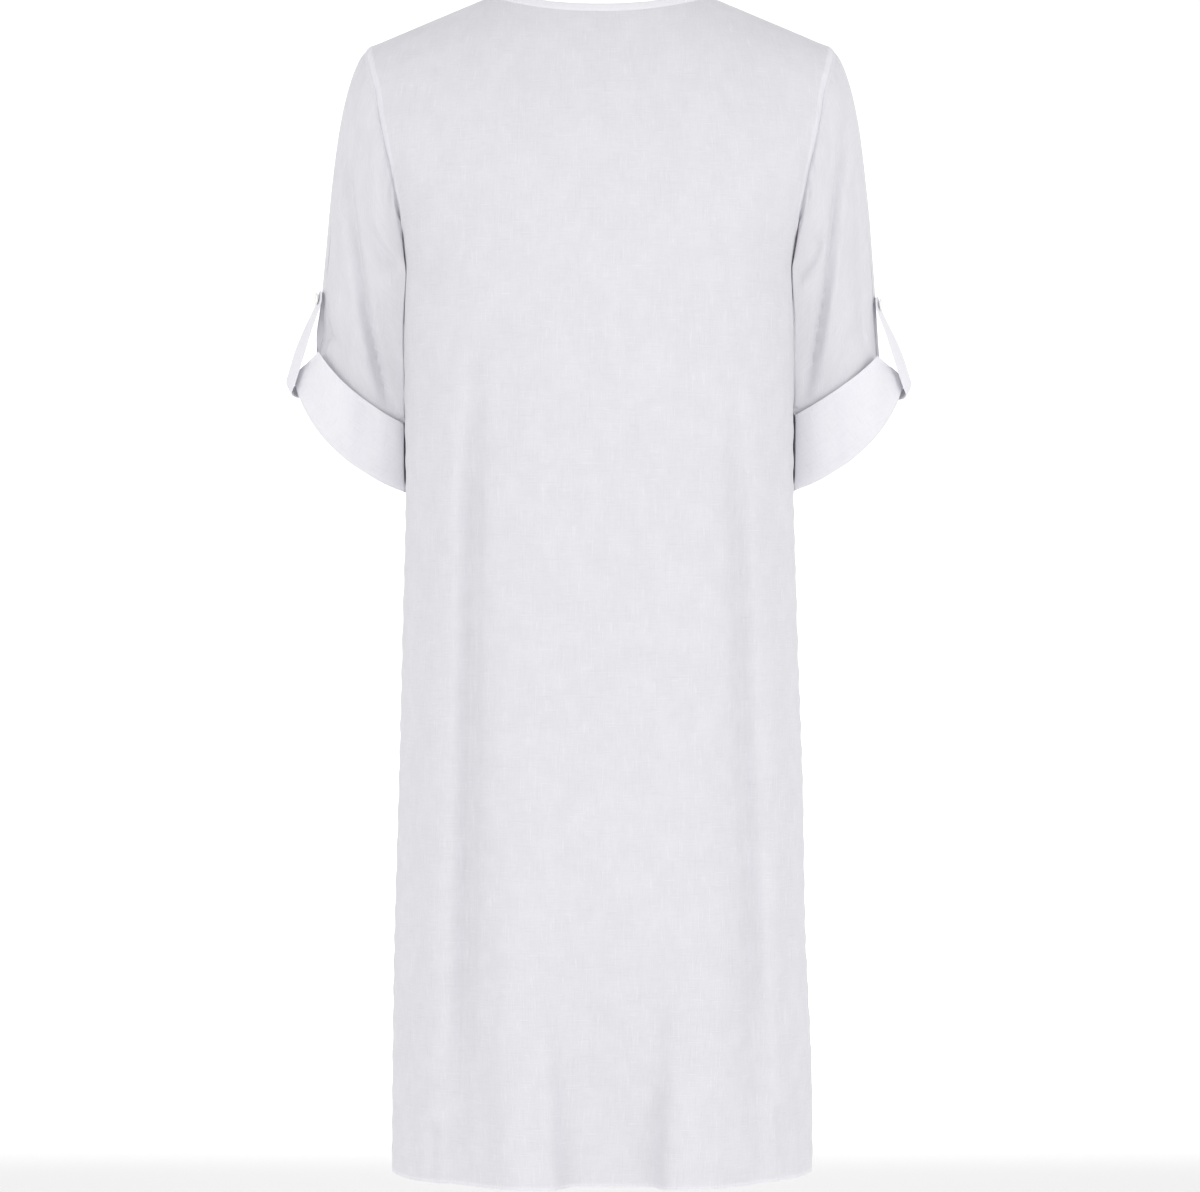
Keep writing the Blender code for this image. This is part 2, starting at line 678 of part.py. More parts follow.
def sleeve_point(grid, angles, angle, z):
    """A point on a sleeve's outer face and the direction it faces, by angle and height."""
    column = int(np.argmin(np.abs(angles - angle)))
    line = grid[:, column]
    row = int(np.argmax(line[:, 2] < z))
    share = (line[row - 1, 2] - z) / (line[row - 1, 2] - line[row, 2])
    point = line[row - 1] + share * (line[row] - line[row - 1])
    across = grid[row, column + 1] - grid[row, column - 1]
    facing = unit(np.cross(across, line[row] - line[row - 1]))
    if facing[0] * point[0] < 0:
        facing = -facing
    return point, facing


def at_angle(values, angles, angle):
    """Values round a ring at an angle between those of its points."""
    angle %= 2 * math.pi
    return np.array([np.interp(angle, angles, values[:, axis], period=2 * math.pi) for axis in range(3)])


Seat = namedtuple("Seat", "corner across rise face")


def tab_seat(cuff, angles, above):
    """Where the tab goes round the cuff's lower edge: a place that touches it, and directions."""
    near = at_angle(cuff.low, angles, TAB_SEAT_ANGLE - TAB_SEAT_SPREAD)
    far = at_angle(cuff.low, angles, TAB_SEAT_ANGLE + TAB_SEAT_SPREAD)
    across = unit(far - near)
    middle = 0.5 * (near + far)
    rise = unit(above - middle - np.dot(above - middle, across) * across)
    face = np.cross(across, rise)
    if face[0] * middle[0] < 0:
        face = -face
    under = np.abs((angles - TAB_SEAT_ANGLE + math.pi) % (2 * math.pi) - math.pi) < TAB_SEAT_SPREAD
    bulge = max(np.dot(cuff.low[under] - middle, face).max(), 0.0)
    return Seat(middle + bulge * face, across, rise, face)


def tab_sections(name, grid, angles, cuff):
    """The tab in section along its way from the button to where it is sewn inside."""
    stand = SEAM_GAP + 0.5 * TAB_CLOTH
    top_z = TAB_TOP_Z[name]
    top, top_facing = sleeve_point(grid, angles, TAB_TOP_ANGLE, top_z)
    lay, lay_facing = sleeve_point(grid, angles, TAB_TOP_ANGLE, top_z - TAB_LAY_LENGTH)
    corner, low_across, rise, face = tab_seat(cuff, angles, lay)
    lip = CUFF_CLOTH + FOLD_GAP + CLOTH
    top_face = unit(top_facing + lay_facing)
    seated = stand + TAB_SEAT_LIFT
    free_start = lay + (stand + TAB_FREE_LIFT) * top_face
    free_end = corner + TAB_CUFF_REACH * rise + (stand + TAB_FREE_LIFT) * face
    path = [
        top + seated * top_face,
        top + 0.2 * (lay - top) + seated * top_face,
        free_start,
        free_start + (free_end - free_start) / 3 + TAB_BOW * face,
        free_start + 2 * (free_end - free_start) / 3 + TAB_BOW * face,
        free_end,
        corner + 0.5 * CUFF_CLOTH * rise + (seated + TAB_FOLD_LIFT) * face,
        corner - (seated + TAB_FOLD_LIFT) * rise,
        corner - (seated + TAB_FOLD_LIFT) * rise - (lip + TAB_FOLD_ROOM) * face,
        corner + CUFF_CLOTH * rise - TAB_INNER_DEPTH * face,
        corner + TAB_INNER_LENGTH * rise - (TAB_INNER_DEPTH + TAB_INNER_LEAN) * face,
    ]
    path = np.array(path)
    top_across = unit(np.cross(top_face, lay - top))
    if top_across[1] < 0:
        top_across = -top_across
    ahead = unit(np.gradient(path, axis=0))
    sections = []
    for index, point in enumerate(path):
        twist = ease((index - 2) / 3.0)
        across = unit(top_across * (1.0 - twist) + low_across * twist)
        across = unit(across - np.dot(across, ahead[index]) * ahead[index])
        through = np.cross(ahead[index], across)
        half = 0.5 * TAB_WIDTH * (TAB_END_NARROWING if index == 0 else 1.0)
        thick = 0.5 * TAB_CLOTH
        sections.append((
            point + half * across + thick * through,
            point - half * across + thick * through,
            point - half * across - thick * through,
            point + half * across - thick * through,
        ))
    seat = path[0] + BUTTON_SHARE * (path[2] - path[0])
    return sections, seat, top_face


def button_rings(seat, facing):
    """A round button with a raised rim and a dished face, sitting on the tab."""
    side = unit(np.cross(facing, (0.0, 0.0, 1.0)))
    rise = np.cross(side, facing)
    base = seat + (0.5 * TAB_CLOTH + 2 * SEAM_GAP) * facing
    vertices = []
    for radius, height in BUTTON_ROWS:
        centre = base + height * BUTTON_THICKNESS * facing
        if radius == 0.0:
            vertices.append(tuple(centre))
            continue
        for index in range(BUTTON_SEGMENTS):
            angle = 2 * math.pi * index / BUTTON_SEGMENTS
            spoke = math.cos(angle) * side + math.sin(angle) * rise
            vertices.append(tuple(centre + radius * BUTTON_RADIUS * spoke))
    faces = []
    rings = len(BUTTON_ROWS) - 2
    top = len(vertices) - 1
    for index in range(BUTTON_SEGMENTS):
        after = (index + 1) % BUTTON_SEGMENTS
        faces.append((0, 1 + after, 1 + index))
        for ring in range(rings - 1):
            low = 1 + ring * BUTTON_SEGMENTS
            high = low + BUTTON_SEGMENTS
            faces.append((low + index, low + after, high + after, high + index))
        last = 1 + (rings - 1) * BUTTON_SEGMENTS
        faces.append((last + index, last + after, top))
    return vertices, faces


def build_side(name, hand, back, front):
    """One sleeve with its cuff, tab and button."""
    start, start_inner = armhole_ring(back, front, hand)
    angles = ring_angles(start)
    cuff = cuff_frame(name, angles, hand)
    outer, normals = sleeve_grid(name, hand, start, angles, cuff)
    inner = outer - CLOTH * normals
    inner[0] = start_inner
    inner[-1] = outer[-1] - CLOTH * cuff.out
    add_object(f"sleeve_{name}", *closed_wall(outer, inner, wrap=True), LINEN)
    add_object(f"cuff_{name}", *ring_of_sections(cuff_sections(cuff), closed=True), LINEN_DOUBLE)
    sections, seat, facing = tab_sections(name, outer, angles, cuff)
    add_object(f"tab_{name}", *ring_of_sections(sections, closed=False), LINEN_DOUBLE)
    add_object(f"button_{name}", *button_rings(seat, facing), PEARL)


def build_dress():
    clear_scene()
    back = panel_walls(1)
    front = panel_walls(-1)
    add_object("back_panel", *closed_wall(back.outer, back.inner, wrap=False), LINEN)
    add_object("front_panel", *closed_wall(front.outer, front.inner, wrap=False), LINEN)
    add_object("neck_band", *closed_wall(*neck_band(back, front), wrap=True), LINEN_DOUBLE)
    build_side("left", 1, back, front)
    build_side("right", -1, back, front)


build_dress()
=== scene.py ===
"""The looks of the linen dress: thin creased cloth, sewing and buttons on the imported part's form."""

import math
from collections import namedtuple

import bmesh
import bpy
import numpy as np
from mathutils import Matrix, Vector


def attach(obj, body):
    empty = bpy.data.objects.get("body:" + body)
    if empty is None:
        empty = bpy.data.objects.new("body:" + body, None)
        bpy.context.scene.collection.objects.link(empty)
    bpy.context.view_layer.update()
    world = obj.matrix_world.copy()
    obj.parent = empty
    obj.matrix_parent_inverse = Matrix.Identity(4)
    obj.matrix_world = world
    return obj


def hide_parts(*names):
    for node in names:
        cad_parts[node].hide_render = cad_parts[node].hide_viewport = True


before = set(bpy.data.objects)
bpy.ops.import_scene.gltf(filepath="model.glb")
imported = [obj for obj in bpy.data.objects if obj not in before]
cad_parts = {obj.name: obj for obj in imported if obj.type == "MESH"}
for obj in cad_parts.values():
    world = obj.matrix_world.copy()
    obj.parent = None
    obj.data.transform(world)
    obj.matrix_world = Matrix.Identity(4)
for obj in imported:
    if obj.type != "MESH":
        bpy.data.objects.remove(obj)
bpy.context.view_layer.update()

# Thickness of the shown cloth, single and doubled, and the seams' gaps, grooves and allowances
CLOTH = 0.0007
DOUBLE_CLOTH = 0.0014
SEAM_GAP = 0.0001
SEAM_DIP = 0.0009
SEAM_DIP_WIDTH = 0.0022
SEAM_ALLOWANCE = 0.0062
HEM_DEPTH = 0.0034

# Small waves and ridges of the panels: how deep, how wide and high, and where in the noise
Rumple = namedtuple("Rumple", "depth width height shift_u shift_v seed")
RUMPLES = (
    Rumple(0.0008, 0.055, 0.090, 7.3, 1.7, 11),
    Rumple(0.0003, 0.021, 0.034, 2.1, 5.2, 17),
)
FLAT_BY_SEAM = 0.030
FLAT_BY_TOP = 0.025
HEM_RIPPLE = Rumple(0.0007, 0.013, 0.025, 0.0, 0.0, 23)
HEM_RIPPLE_REACH = 0.022
HEM_RIPPLE_START = 0.01
SIDE_PUCKER = 0.0005
SIDE_PUCKER_PITCH = 0.0042
SIDE_PUCKER_DRIFT = 1.5
SIDE_PUCKER_DRIFT_PITCH = 0.031
SIDE_PUCKER_REACH = 0.010
SIDE_PUCKER_START = 0.003
SEAM_RIDGE = 0.0004
SEAM_RIDGE_PLACE = 0.0052
SEAM_RIDGE_WIDTH = 0.0016
LAYER_EDGE = 0.0012

# The part's own sizes, repeated from its source
HEM_Z = -1.027
UNDERARM_Z = -0.238
SHOULDER_TIP_Z = -0.044
NECK_POINT_Z = 0.0
BACK_NECK_Z = -0.0195
FRONT_NECK_Z = -0.094
CROWN_Z = 0.0212
BAND_HEIGHT = 0.0085
NECK_POINT_X = 0.101
SHOULDER_TIP_X = 0.206
SECTION_POWER = 2.3
BACK_CROWN_POWER = 2.0
FRONT_CROWN_POWER = 1.6
BODY_SPREAD = 0.28
BODY_SPREAD_SOFTNESS = 0.060
ARMHOLE_SHIFT_FADE = 0.060
NECK_COLUMN = 0.62
NECK_CURVE_POWER = 2.2

BodyRow = namedtuple("BodyRow", "z left right back front")
BODY_ROWS = (
    BodyRow(-1.027, 0.1825, 0.1865, 0.148, 0.138),
    BodyRow(-0.935, 0.1820, 0.1855, 0.145, 0.135),
    BodyRow(-0.825, 0.1805, 0.1805, 0.141, 0.131),
    BodyRow(-0.690, 0.1765, 0.1780, 0.137, 0.126),
    BodyRow(-0.560, 0.1735, 0.1735, 0.133, 0.121),
    BodyRow(-0.430, 0.1705, 0.1700, 0.130, 0.120),
    BodyRow(-0.330, 0.1720, 0.1700, 0.129, 0.124),
    BodyRow(-0.238, 0.1720, 0.1700, 0.128, 0.124),
)

ArmholeRow = namedtuple("ArmholeRow", "z x")
ARMHOLE_ROWS = (
    ArmholeRow(-0.238, 0.1720),
    ArmholeRow(-0.202, 0.1740),
    ArmholeRow(-0.171, 0.1790),
    ArmholeRow(-0.135, 0.1870),
    ArmholeRow(-0.113, 0.1915),
    ArmholeRow(-0.090, 0.1950),
    ArmholeRow(-0.067, 0.2010),
    ArmholeRow(-0.044, 0.2060),
)

# Long soft folds of the panels, a trough where the depth is positive
Fold = namedtuple("Fold", "top_x top_z mid_x mid_z low_x low_z top_depth low_depth top_width low_width")
BACK_FOLDS = (
    Fold(0.108, -0.300, 0.112, -0.600, 0.120, -1.027, 0.0015, 0.0110, 0.014, 0.024),
    Fold(-0.117, -0.330, -0.124, -0.660, -0.139, -1.027, 0.0015, 0.0095, 0.014, 0.022),
    Fold(0.070, -0.560, 0.072, -0.800, 0.074, -1.027, 0.0, -0.0040, 0.022, 0.026),
    Fold(-0.086, -0.560, -0.090, -0.800, -0.092, -1.027, 0.0, -0.0045, 0.022, 0.026),
)
FRONT_FOLDS = (
    Fold(0.096, -0.300, 0.100, -0.620, 0.112, -1.027, 0.0010, 0.0110, 0.015, 0.026),
    Fold(0.020, -0.520, 0.024, -0.760, 0.034, -1.027, 0.0, 0.0090, 0.016, 0.026),
    Fold(-0.064, -0.420, -0.058, -0.700, -0.048, -1.027, 0.0, 0.0100, 0.016, 0.026),
    Fold(-0.124, -0.340, -0.128, -0.660, -0.136, -1.027, 0.0010, 0.0080, 0.014, 0.022),
)
FOLD_START = 0.15
PANEL_EDGE_FADE = 0.08

# How much closer the columns of a panel stand near its sharp turns, and how far from them
SHARP_EXTRA = 1.3
SHARP_WIDTH = 0.08

# The soft inverted pleat in the middle of the back, less deep than in the part
PleatEdge = namedtuple("PleatEdge", "top_x top_z hem_x")
PLEAT_LEFT = PleatEdge(0.046, -0.757, 0.032)
PLEAT_RIGHT = PleatEdge(-0.062, -0.722, -0.050)
PLEAT_DEPTH = 0.025
PLEAT_TOP_TURN = 0.016
PLEAT_HEM_TURN = 0.0066

# Smaller creases: a curve through three points, how deep, and how wide it is on
# the side towards the middle of the garment and on the side away from it. They fade at both ends.
CREASE_FADE_IN = 0.3
CREASE_FADE_OUT = 0.25
Crease = namedtuple("Crease", "x1 z1 x2 z2 x3 z3 depth near far")
BACK_CREASES = (
    Crease(0.1105, -0.290, 0.1150, -0.600, 0.1230, -1.100, 0.0098, 0.0105, 0.0075),
    Crease(-0.1195, -0.310, -0.1270, -0.630, -0.1450, -1.100, 0.0088, 0.0095, 0.0080),
    Crease(0.168, -0.215, 0.150, -0.236, 0.128, -0.262, 0.0012, 0.010, 0.012),
    Crease(-0.166, -0.205, -0.146, -0.228, -0.118, -0.246, 0.0013, 0.010, 0.013),
    Crease(0.158, -0.300, 0.151, -0.420, 0.155, -0.560, 0.0014, 0.012, 0.010),
    Crease(-0.152, -0.320, -0.148, -0.470, -0.154, -0.640, 0.0015, 0.012, 0.010),
    Crease(0.040, -0.300, 0.030, -0.430, 0.036, -0.590, 0.0009, 0.022, 0.018),
    Crease(-0.036, -0.260, -0.052, -0.400, -0.046, -0.560, 0.0009, 0.020, 0.024),
    Crease(0.158, -0.620, 0.164, -0.800, 0.162, -1.080, 0.0028, 0.012, 0.010),
    Crease(-0.160, -0.780, -0.166, -0.900, -0.168, -1.080, 0.0034, 0.012, 0.008),
    Crease(-0.112, -0.820, -0.116, -0.930, -0.112, -1.080, 0.0016, 0.010, 0.012),
    Crease(0.094, -0.800, 0.098, -0.920, 0.096, -1.080, 0.0018, 0.012, 0.010),
    Crease(0.012, -0.840, 0.006, -0.940, 0.010, -1.080, 0.0018, 0.010, 0.012),
    Crease(-0.022, -0.900, -0.026, -0.970, -0.022, -1.080, 0.0014, 0.008, 0.010),
    Crease(-0.150, -0.960, -0.158, -0.990, -0.162, -1.050, 0.0036, 0.005, 0.006),
    Crease(-0.172, -0.940, -0.176, -0.975, -0.176, -1.050, 0.0030, 0.004, 0.005),
    Crease(0.142, -0.975, 0.144, -1.000, 0.145, -1.050, 0.0034, 0.005, 0.006),
    Crease(0.124, -0.985, 0.127, -1.010, 0.128, -1.050, 0.0028, 0.004, 0.005),
    Crease(0.092, -0.052, 0.060, -0.072, 0.018, -0.080, 0.0007, 0.016, 0.014),
    Crease(-0.088, -0.050, -0.058, -0.074, -0.022, -0.086, 0.0006, 0.014, 0.016),
)
FRONT_CREASES = (
    Crease(0.164, -0.222, 0.142, -0.240, 0.108, -0.250, 0.0016, 0.010, 0.012),
    Crease(-0.162, -0.216, -0.138, -0.238, -0.100, -0.254, 0.0015, 0.010, 0.012),
    Crease(0.156, -0.300, 0.148, -0.440, 0.152, -0.600, 0.0016, 0.012, 0.010),
    Crease(-0.154, -0.310, -0.150, -0.460, -0.158, -0.640, 0.0015, 0.012, 0.010),
    Crease(0.060, -0.200, 0.040, -0.330, 0.052, -0.520, 0.0010, 0.020, 0.018),
    Crease(-0.028, -0.300, -0.020, -0.400, -0.026, -0.540, 0.0009, 0.018, 0.020),
    Crease(0.154, -0.700, 0.160, -0.850, 0.160, -1.080, 0.0026, 0.012, 0.010),
    Crease(0.068, -0.780, 0.070, -0.900, 0.066, -1.080, 0.0020, 0.010, 0.012),
    Crease(-0.010, -0.800, -0.006, -0.920, -0.008, -1.080, 0.0020, 0.012, 0.010),
    Crease(-0.092, -0.760, -0.094, -0.900, -0.090, -1.080, 0.0022, 0.010, 0.012),
    Crease(-0.164, -0.820, -0.168, -0.920, -0.166, -1.080, 0.0028, 0.010, 0.008),
    Crease(0.124, -0.980, 0.128, -1.005, 0.130, -1.050, 0.0012, 0.005, 0.006),
    Crease(-0.146, -0.975, -0.150, -1.000, -0.152, -1.050, 0.0014, 0.005, 0.006),
)

# Sleeves and cuffs. Where the cloth hangs against the body it lies closer than the part's walls.
BODY_CLEARANCE = 0.0007
CLEAR_FADE = 0.004
CREASE_TURN = 0.5
Way = namedtuple("Way", "mean_x side_x lean_y inner_y mean_z side_z")
LEAVING = Way(0.058, 0.040, 0.022, -0.010, -0.062, -0.060)
ARRIVING = Way(0.014, 0.019, -0.008, 0.0, -0.225, -0.075)
LEAN_FROM = 0.56
LEAN_TURN = 0.25
LEAN_START = 0.012
LEAN_RISE = 0.085
LEAN_AFTER = 0.03
LEAN_OVER = 0.12
RingRow = namedtuple("RingRow", "outer_x inner_x middle_y half_depth top_z dip level drop hang")
CUFF_LOWER = {
    "left": RingRow(0.2755, 0.1650, -0.048, 0.046, -0.334, 0.0, 20.0, 0.0985, 1.31),
    "right": RingRow(0.2735, 0.1640, -0.048, 0.046, -0.336, 0.0, 20.0, 0.0950, 1.32),
}
CUFF_UPPER = {
    "left": RingRow(0.2632, 0.1660, -0.044, 0.049, -0.309, 0.011, 45.0, 0.066, 1.18),
    "right": RingRow(0.2590, 0.1640, -0.044, 0.049, -0.3125, 0.009, 45.0, 0.057, 1.00),
}
CUFF_CLOTH = 0.0020
CUFF_SWELL = 0.0015
CUFF_SLACK = 0.0014
HIDDEN_DEPTH = 0.0024
CUFF_RIM_STAND = 0.0025
CUFF_RIM_OPENING = 0.0075
CUFF_CLEARANCE = 0.0005
CORNER_POWER = 5.0
CORNER_START = 0.3
FOLD_GAP = 0.0006
TAB_SEAT_ANGLE = math.radians(18.0)
TAB_SEAT_SPREAD = math.radians(12.0)

# Creases of each sleeve. Those of the back face are seen from behind, those of the front from ahead.
SLEEVE_BACK_CREASES = {
    "left": (
        Crease(0.2275, -0.118, 0.2155, -0.235, 0.1720, -0.385, 0.0046, 0.0150, 0.0055),
        Crease(0.2275, -0.080, 0.2150, -0.232, 0.1740, -0.400, 0.0052, 0.0046, 0.0038),
        Crease(0.2080, -0.105, 0.2075, -0.150, 0.1980, -0.215, 0.0026, 0.0080, 0.0085),
        Crease(0.2020, -0.195, 0.1900, -0.222, 0.1700, -0.243, 0.0050, 0.0035, 0.0110),
        Crease(0.2390, -0.180, 0.2430, -0.250, 0.2460, -0.330, 0.0030, 0.0050, 0.0060),
        Crease(0.2420, -0.275, 0.2380, -0.318, 0.2150, -0.362, 0.0062, 0.0130, 0.0050),
        Crease(0.2230, -0.235, 0.2250, -0.280, 0.2270, -0.330, 0.0022, 0.0070, 0.0070),
        Crease(0.1960, -0.250, 0.1860, -0.300, 0.1700, -0.345, 0.0024, 0.0060, 0.0080),
    ),
    "right": (
        Crease(0.2130, -0.120, 0.2060, -0.215, 0.1720, -0.372, 0.0046, 0.0140, 0.0050),
        Crease(0.2160, -0.085, 0.2065, -0.212, 0.1735, -0.388, 0.0052, 0.0046, 0.0038),
        Crease(0.1980, -0.130, 0.1930, -0.180, 0.1780, -0.225, 0.0026, 0.0070, 0.0080),
        Crease(0.1960, -0.208, 0.1860, -0.232, 0.1690, -0.256, 0.0048, 0.0100, 0.0035),
        Crease(0.2300, -0.110, 0.2310, -0.215, 0.2360, -0.335, 0.0044, 0.0100, 0.0040),
        Crease(0.2250, -0.280, 0.2180, -0.315, 0.2020, -0.352, 0.0030, 0.0080, 0.0060),
        Crease(0.2160, -0.200, 0.2150, -0.250, 0.2070, -0.310, 0.0020, 0.0060, 0.0060),
    ),
}
SLEEVE_FRONT_CREASES = {
    "left": (
        Crease(0.2240, -0.120, 0.2100, -0.220, 0.1780, -0.330, 0.0064, 0.0120, 0.0050),
        Crease(0.2030, -0.190, 0.1900, -0.224, 0.1700, -0.244, 0.0044, 0.0040, 0.0100),
        Crease(0.2360, -0.170, 0.2400, -0.240, 0.2420, -0.320, 0.0030, 0.0060, 0.0050),
        Crease(0.2200, -0.240, 0.2160, -0.290, 0.2000, -0.340, 0.0028, 0.0080, 0.0060),
    ),
    "right": (
        Crease(0.2200, -0.110, 0.2080, -0.210, 0.1760, -0.325, 0.0060, 0.0120, 0.0050),
        Crease(0.1990, -0.196, 0.1880, -0.226, 0.1690, -0.246, 0.0044, 0.0090, 0.0040),
        Crease(0.2330, -0.160, 0.2360, -0.240, 0.2380, -0.318, 0.0028, 0.0060, 0.0050),
        Crease(0.2160, -0.250, 0.2120, -0.295, 0.1980, -0.335, 0.0026, 0.0080, 0.0060),
    ),
}
# A cuff's soft dents: angle round the cuff in degrees, at its rim and at its fold, depth and width
Dent = namedtuple("Dent", "rim fold depth width")
CUFF_DENTS = {
    "left": (
        Dent(34.0, 62.0, 0.0024, 21.0),
        Dent(104.0, 96.0, 0.0016, 16.0),
        Dent(150.0, 140.0, 0.0014, 14.0),
        Dent(222.0, 232.0, 0.0022, 15.0),
        Dent(290.0, 276.0, 0.0026, 18.0),
    ),
    "right": (
        Dent(30.0, 50.0, 0.0020, 14.0),
        Dent(84.0, 92.0, 0.0018, 18.0),
        Dent(140.0, 134.0, 0.0014, 14.0),
        Dent(226.0, 220.0, 0.0022, 16.0),
        Dent(296.0, 284.0, 0.0024, 16.0),
    ),
}
DENT_FOLD_WIDTH = 1.3
DENT_NARROWING = 0.5
DENT_RIM_FADE = 0.12
DENT_RIM_LEFT = 0.35
DENT_FOLD_FADE = 0.25
DENT_FOLD_LEFT = 0.15

# A sleeve's soft waves, the puckers at its armhole, and how its creases end at the cuff
SLEEVE_WAVE = Rumple(0.0008, 1.0 / 16.0, 0.055, 0.0, 3.0, 31)
SLEEVE_PUCKER = 0.0007
SLEEVE_PUCKERS = 23.0
SLEEVE_PUCKER_DRIFT = 2.0
SLEEVE_PUCKER_DRIFTS = 3.0
SLEEVE_PUCKER_START = 0.006
SLEEVE_PUCKER_REACH = 0.019
SLEEVE_CREASE_START = 0.010
SLEEVE_CREASE_END = 0.020
SLEEVE_CREASE_LEFT = 0.25
SLEEVE_LAYER_SHARE = 0.4
SLEEVE_LAYER_EDGE = 0.002

# A cuff's fine unevenness, its rounded lower edge, and the cloth's way round the fold and up inside:
# how many lips and metres inwards, and metres up
CUFF_WAVE = 0.0004
CUFF_WAVE_DEGREES = 9.0
CUFF_WAVES_UP = 2.4
CUFF_WAVE_SEED = 41
CUFF_EDGE_HEIGHT = 0.0016
CUFF_EDGE_DEPTH = 0.0011
Turn = namedtuple("Turn", "lips inward up")
CUFF_TURNS = (
    Turn(0.0, 0.0016, -0.0004),
    Turn(0.5, 0.0, -0.0006),
    Turn(1.0, -0.0002, -0.0002),
    Turn(1.0, 0.0, 0.0014),
    Turn(1.0, 0.0002, 0.0060),
    Turn(1.0, 0.0002, 0.0110),
)

# The neck band's columns, its rows as shares of its height, its lean and its bulge
BAND_COLUMNS = 240
BAND_SHARES = (0.0, 0.06, 0.2, 0.4, 0.6, 0.8, 0.94, 1.0)
BAND_LEAN = 0.25
BAND_BULGE = 0.0007
BAND_EDGE_PINCH = 0.3

# Tabs and buttons. Most of these are the part's; the shown cloth is thinner and hugs the cuff.
TAB_CLOTH = 0.0018
TAB_WIDTH = 0.020
TAB_TOP_Z = {"left": -0.254, "right": -0.259}
TAB_TOP_ANGLE = math.radians(12.0)
TAB_LAY_LENGTH = 0.013
TAB_SEAT_LIFT = 0.0009
TAB_FREE_LIFT = 0.0026
TAB_BOW = 0.0012
TAB_CUFF_REACH = 0.008
TAB_FOLD_LIFT = 0.0006
TAB_FOLD_ROOM = 0.0020
TAB_INNER_DEPTH = 0.0122
TAB_INNER_LENGTH = 0.010
TAB_INNER_LEAN = 0.014
TAB_SHOWN_CLOTH = 0.0013
TAB_STAND = 0.0003
TAB_LIP = 0.0016
TAB_SEATED_SHARE = 0.2
TAB_TWIST_LENGTH = 0.05
TAB_COLUMNS = 15
TAB_POINT_WIDTH = 0.30
TAB_EDGE_CLOTH = 0.25
TAB_END_ROUNDING = 0.0012
TAB_STEPS = 96
TAB_POINT_LENGTH = 0.0085
BUTTON_SHARE = 0.55
BUTTON_RADIUS = 0.0055
BUTTON_THICKNESS = 0.0026
BUTTON_HOLE_RADIUS = 0.00062
BUTTON_HOLE_PLACE = 0.0013
BUTTON_SEGMENTS = 56
BUTTON_STAND = 0.0006
BUTTON_SHARP = 40.0
BUTTON_DISH = 0.62
BUTTON_HOLE_SEGMENTS = 16
BUTTON_HOLE_MARGIN = 0.001
BUTTON_STRAND_GAP = 0.00022
BUTTON_STRAND_BOW = 0.00045
BUTTON_STRAND_STEPS = 5
# A button's section from the middle of its back to the middle of its face, in shares of its
# radius and its thickness
BUTTON_PROFILE = (
    (0.0, 0.0), (0.55, 0.0), (0.80, 0.06), (0.94, 0.22), (1.0, 0.46), (0.99, 0.66),
    (0.95, 0.84), (0.89, 0.96), (0.83, 1.0), (0.77, 0.97), (0.71, 0.86), (0.64, 0.72),
    (0.55, 0.64), (0.35, 0.61), (0.0, 0.60),
)

# Fineness of the meshes
BACK_COLUMNS = 139
FRONT_COLUMNS = 111
LOWER_ROWS = 178
UPPER_ROWS = 66
SLEEVE_COLUMNS = 184
SLEEVE_ROWS = 78
CUFF_ROWS = 20
CREASE_STEPS = 24
FINE_STEPS = 6001

# Sewing thread: radius of the thread, pitch and length of its stitches
Sewing = namedtuple("Sewing", "radius pitch length")
SEAM_SEWING = Sewing(0.00024, 0.0033, 0.0025)
BUTTON_SEWING = Sewing(0.00016, 0.0008, 0.0011)

# A stitch's rings: place along it, thickness, and how far each is lifted, in radii of the thread
Ring = namedtuple("Ring", "along size lift")
STITCH_RINGS = (
    Ring(-0.5, 0.35, -1.1),
    Ring(-0.38, 0.9, -0.1),
    Ring(0.0, 1.0, 0.35),
    Ring(0.38, 0.9, -0.1),
    Ring(0.5, 0.35, -1.1),
)
STITCH_SIDES = 6

# Lines of stitches: how far from the hem's or the cuff's edge, and how near a tab's edge
HEM_STITCHES = 0.7 * HEM_DEPTH
HEM_STITCH_ROW = 2
RIM_STITCHES = 0.0028
BAND_STITCH_ROW = 2
TAB_STITCHES = 0.78
TAB_STITCH_LIFT = 0.2

# Each sheet: the flat rectangle round its cut and the cloth's area within that, in metres, how it
# is held, and its material slot. It is the cut of what shows, all round on the tubes; hems and
# turned-in ends aren't in it.
Cut = namedtuple("Cut", "flat area held slot")

# Colours. Linen shows the first where it lies single and the second where it lies double.
LINEN_SINGLE = (0.800, 0.794, 0.828)
LINEN_DOUBLE = (0.880, 0.872, 0.912)
LINEN_THROUGH = 0.20
DOUBLED_LINEN_SINGLE = (0.852, 0.844, 0.886)
DOUBLED_LINEN_DOUBLE = (0.872, 0.864, 0.904)
DOUBLED_LINEN_THROUGH = 0.14
THREAD_DARK = (0.84, 0.84, 0.87)
THREAD_LIGHT = (0.93, 0.93, 0.95)
PEARL_DARK = (0.86, 0.85, 0.82)
PEARL_LIGHT = (0.95, 0.95, 0.93)

# Linen's noises: waves a metre across and along the cloth, detail, and where in the noise
Pattern = namedtuple("Pattern", "across along detail shift")
WARP_SLUBS = Pattern(720.0, 60.0, 2.0, 1.3)
WEFT_SLUBS = Pattern(54.0, 720.0, 2.0, 7.1)
WARP_YARN = Pattern(2100.0, 160.0, 1.0, 3.9)
WEFT_YARN = Pattern(160.0, 2100.0, 1.0, 5.7)
MOTTLE = Pattern(55.0, 42.0, 3.0, 9.4)

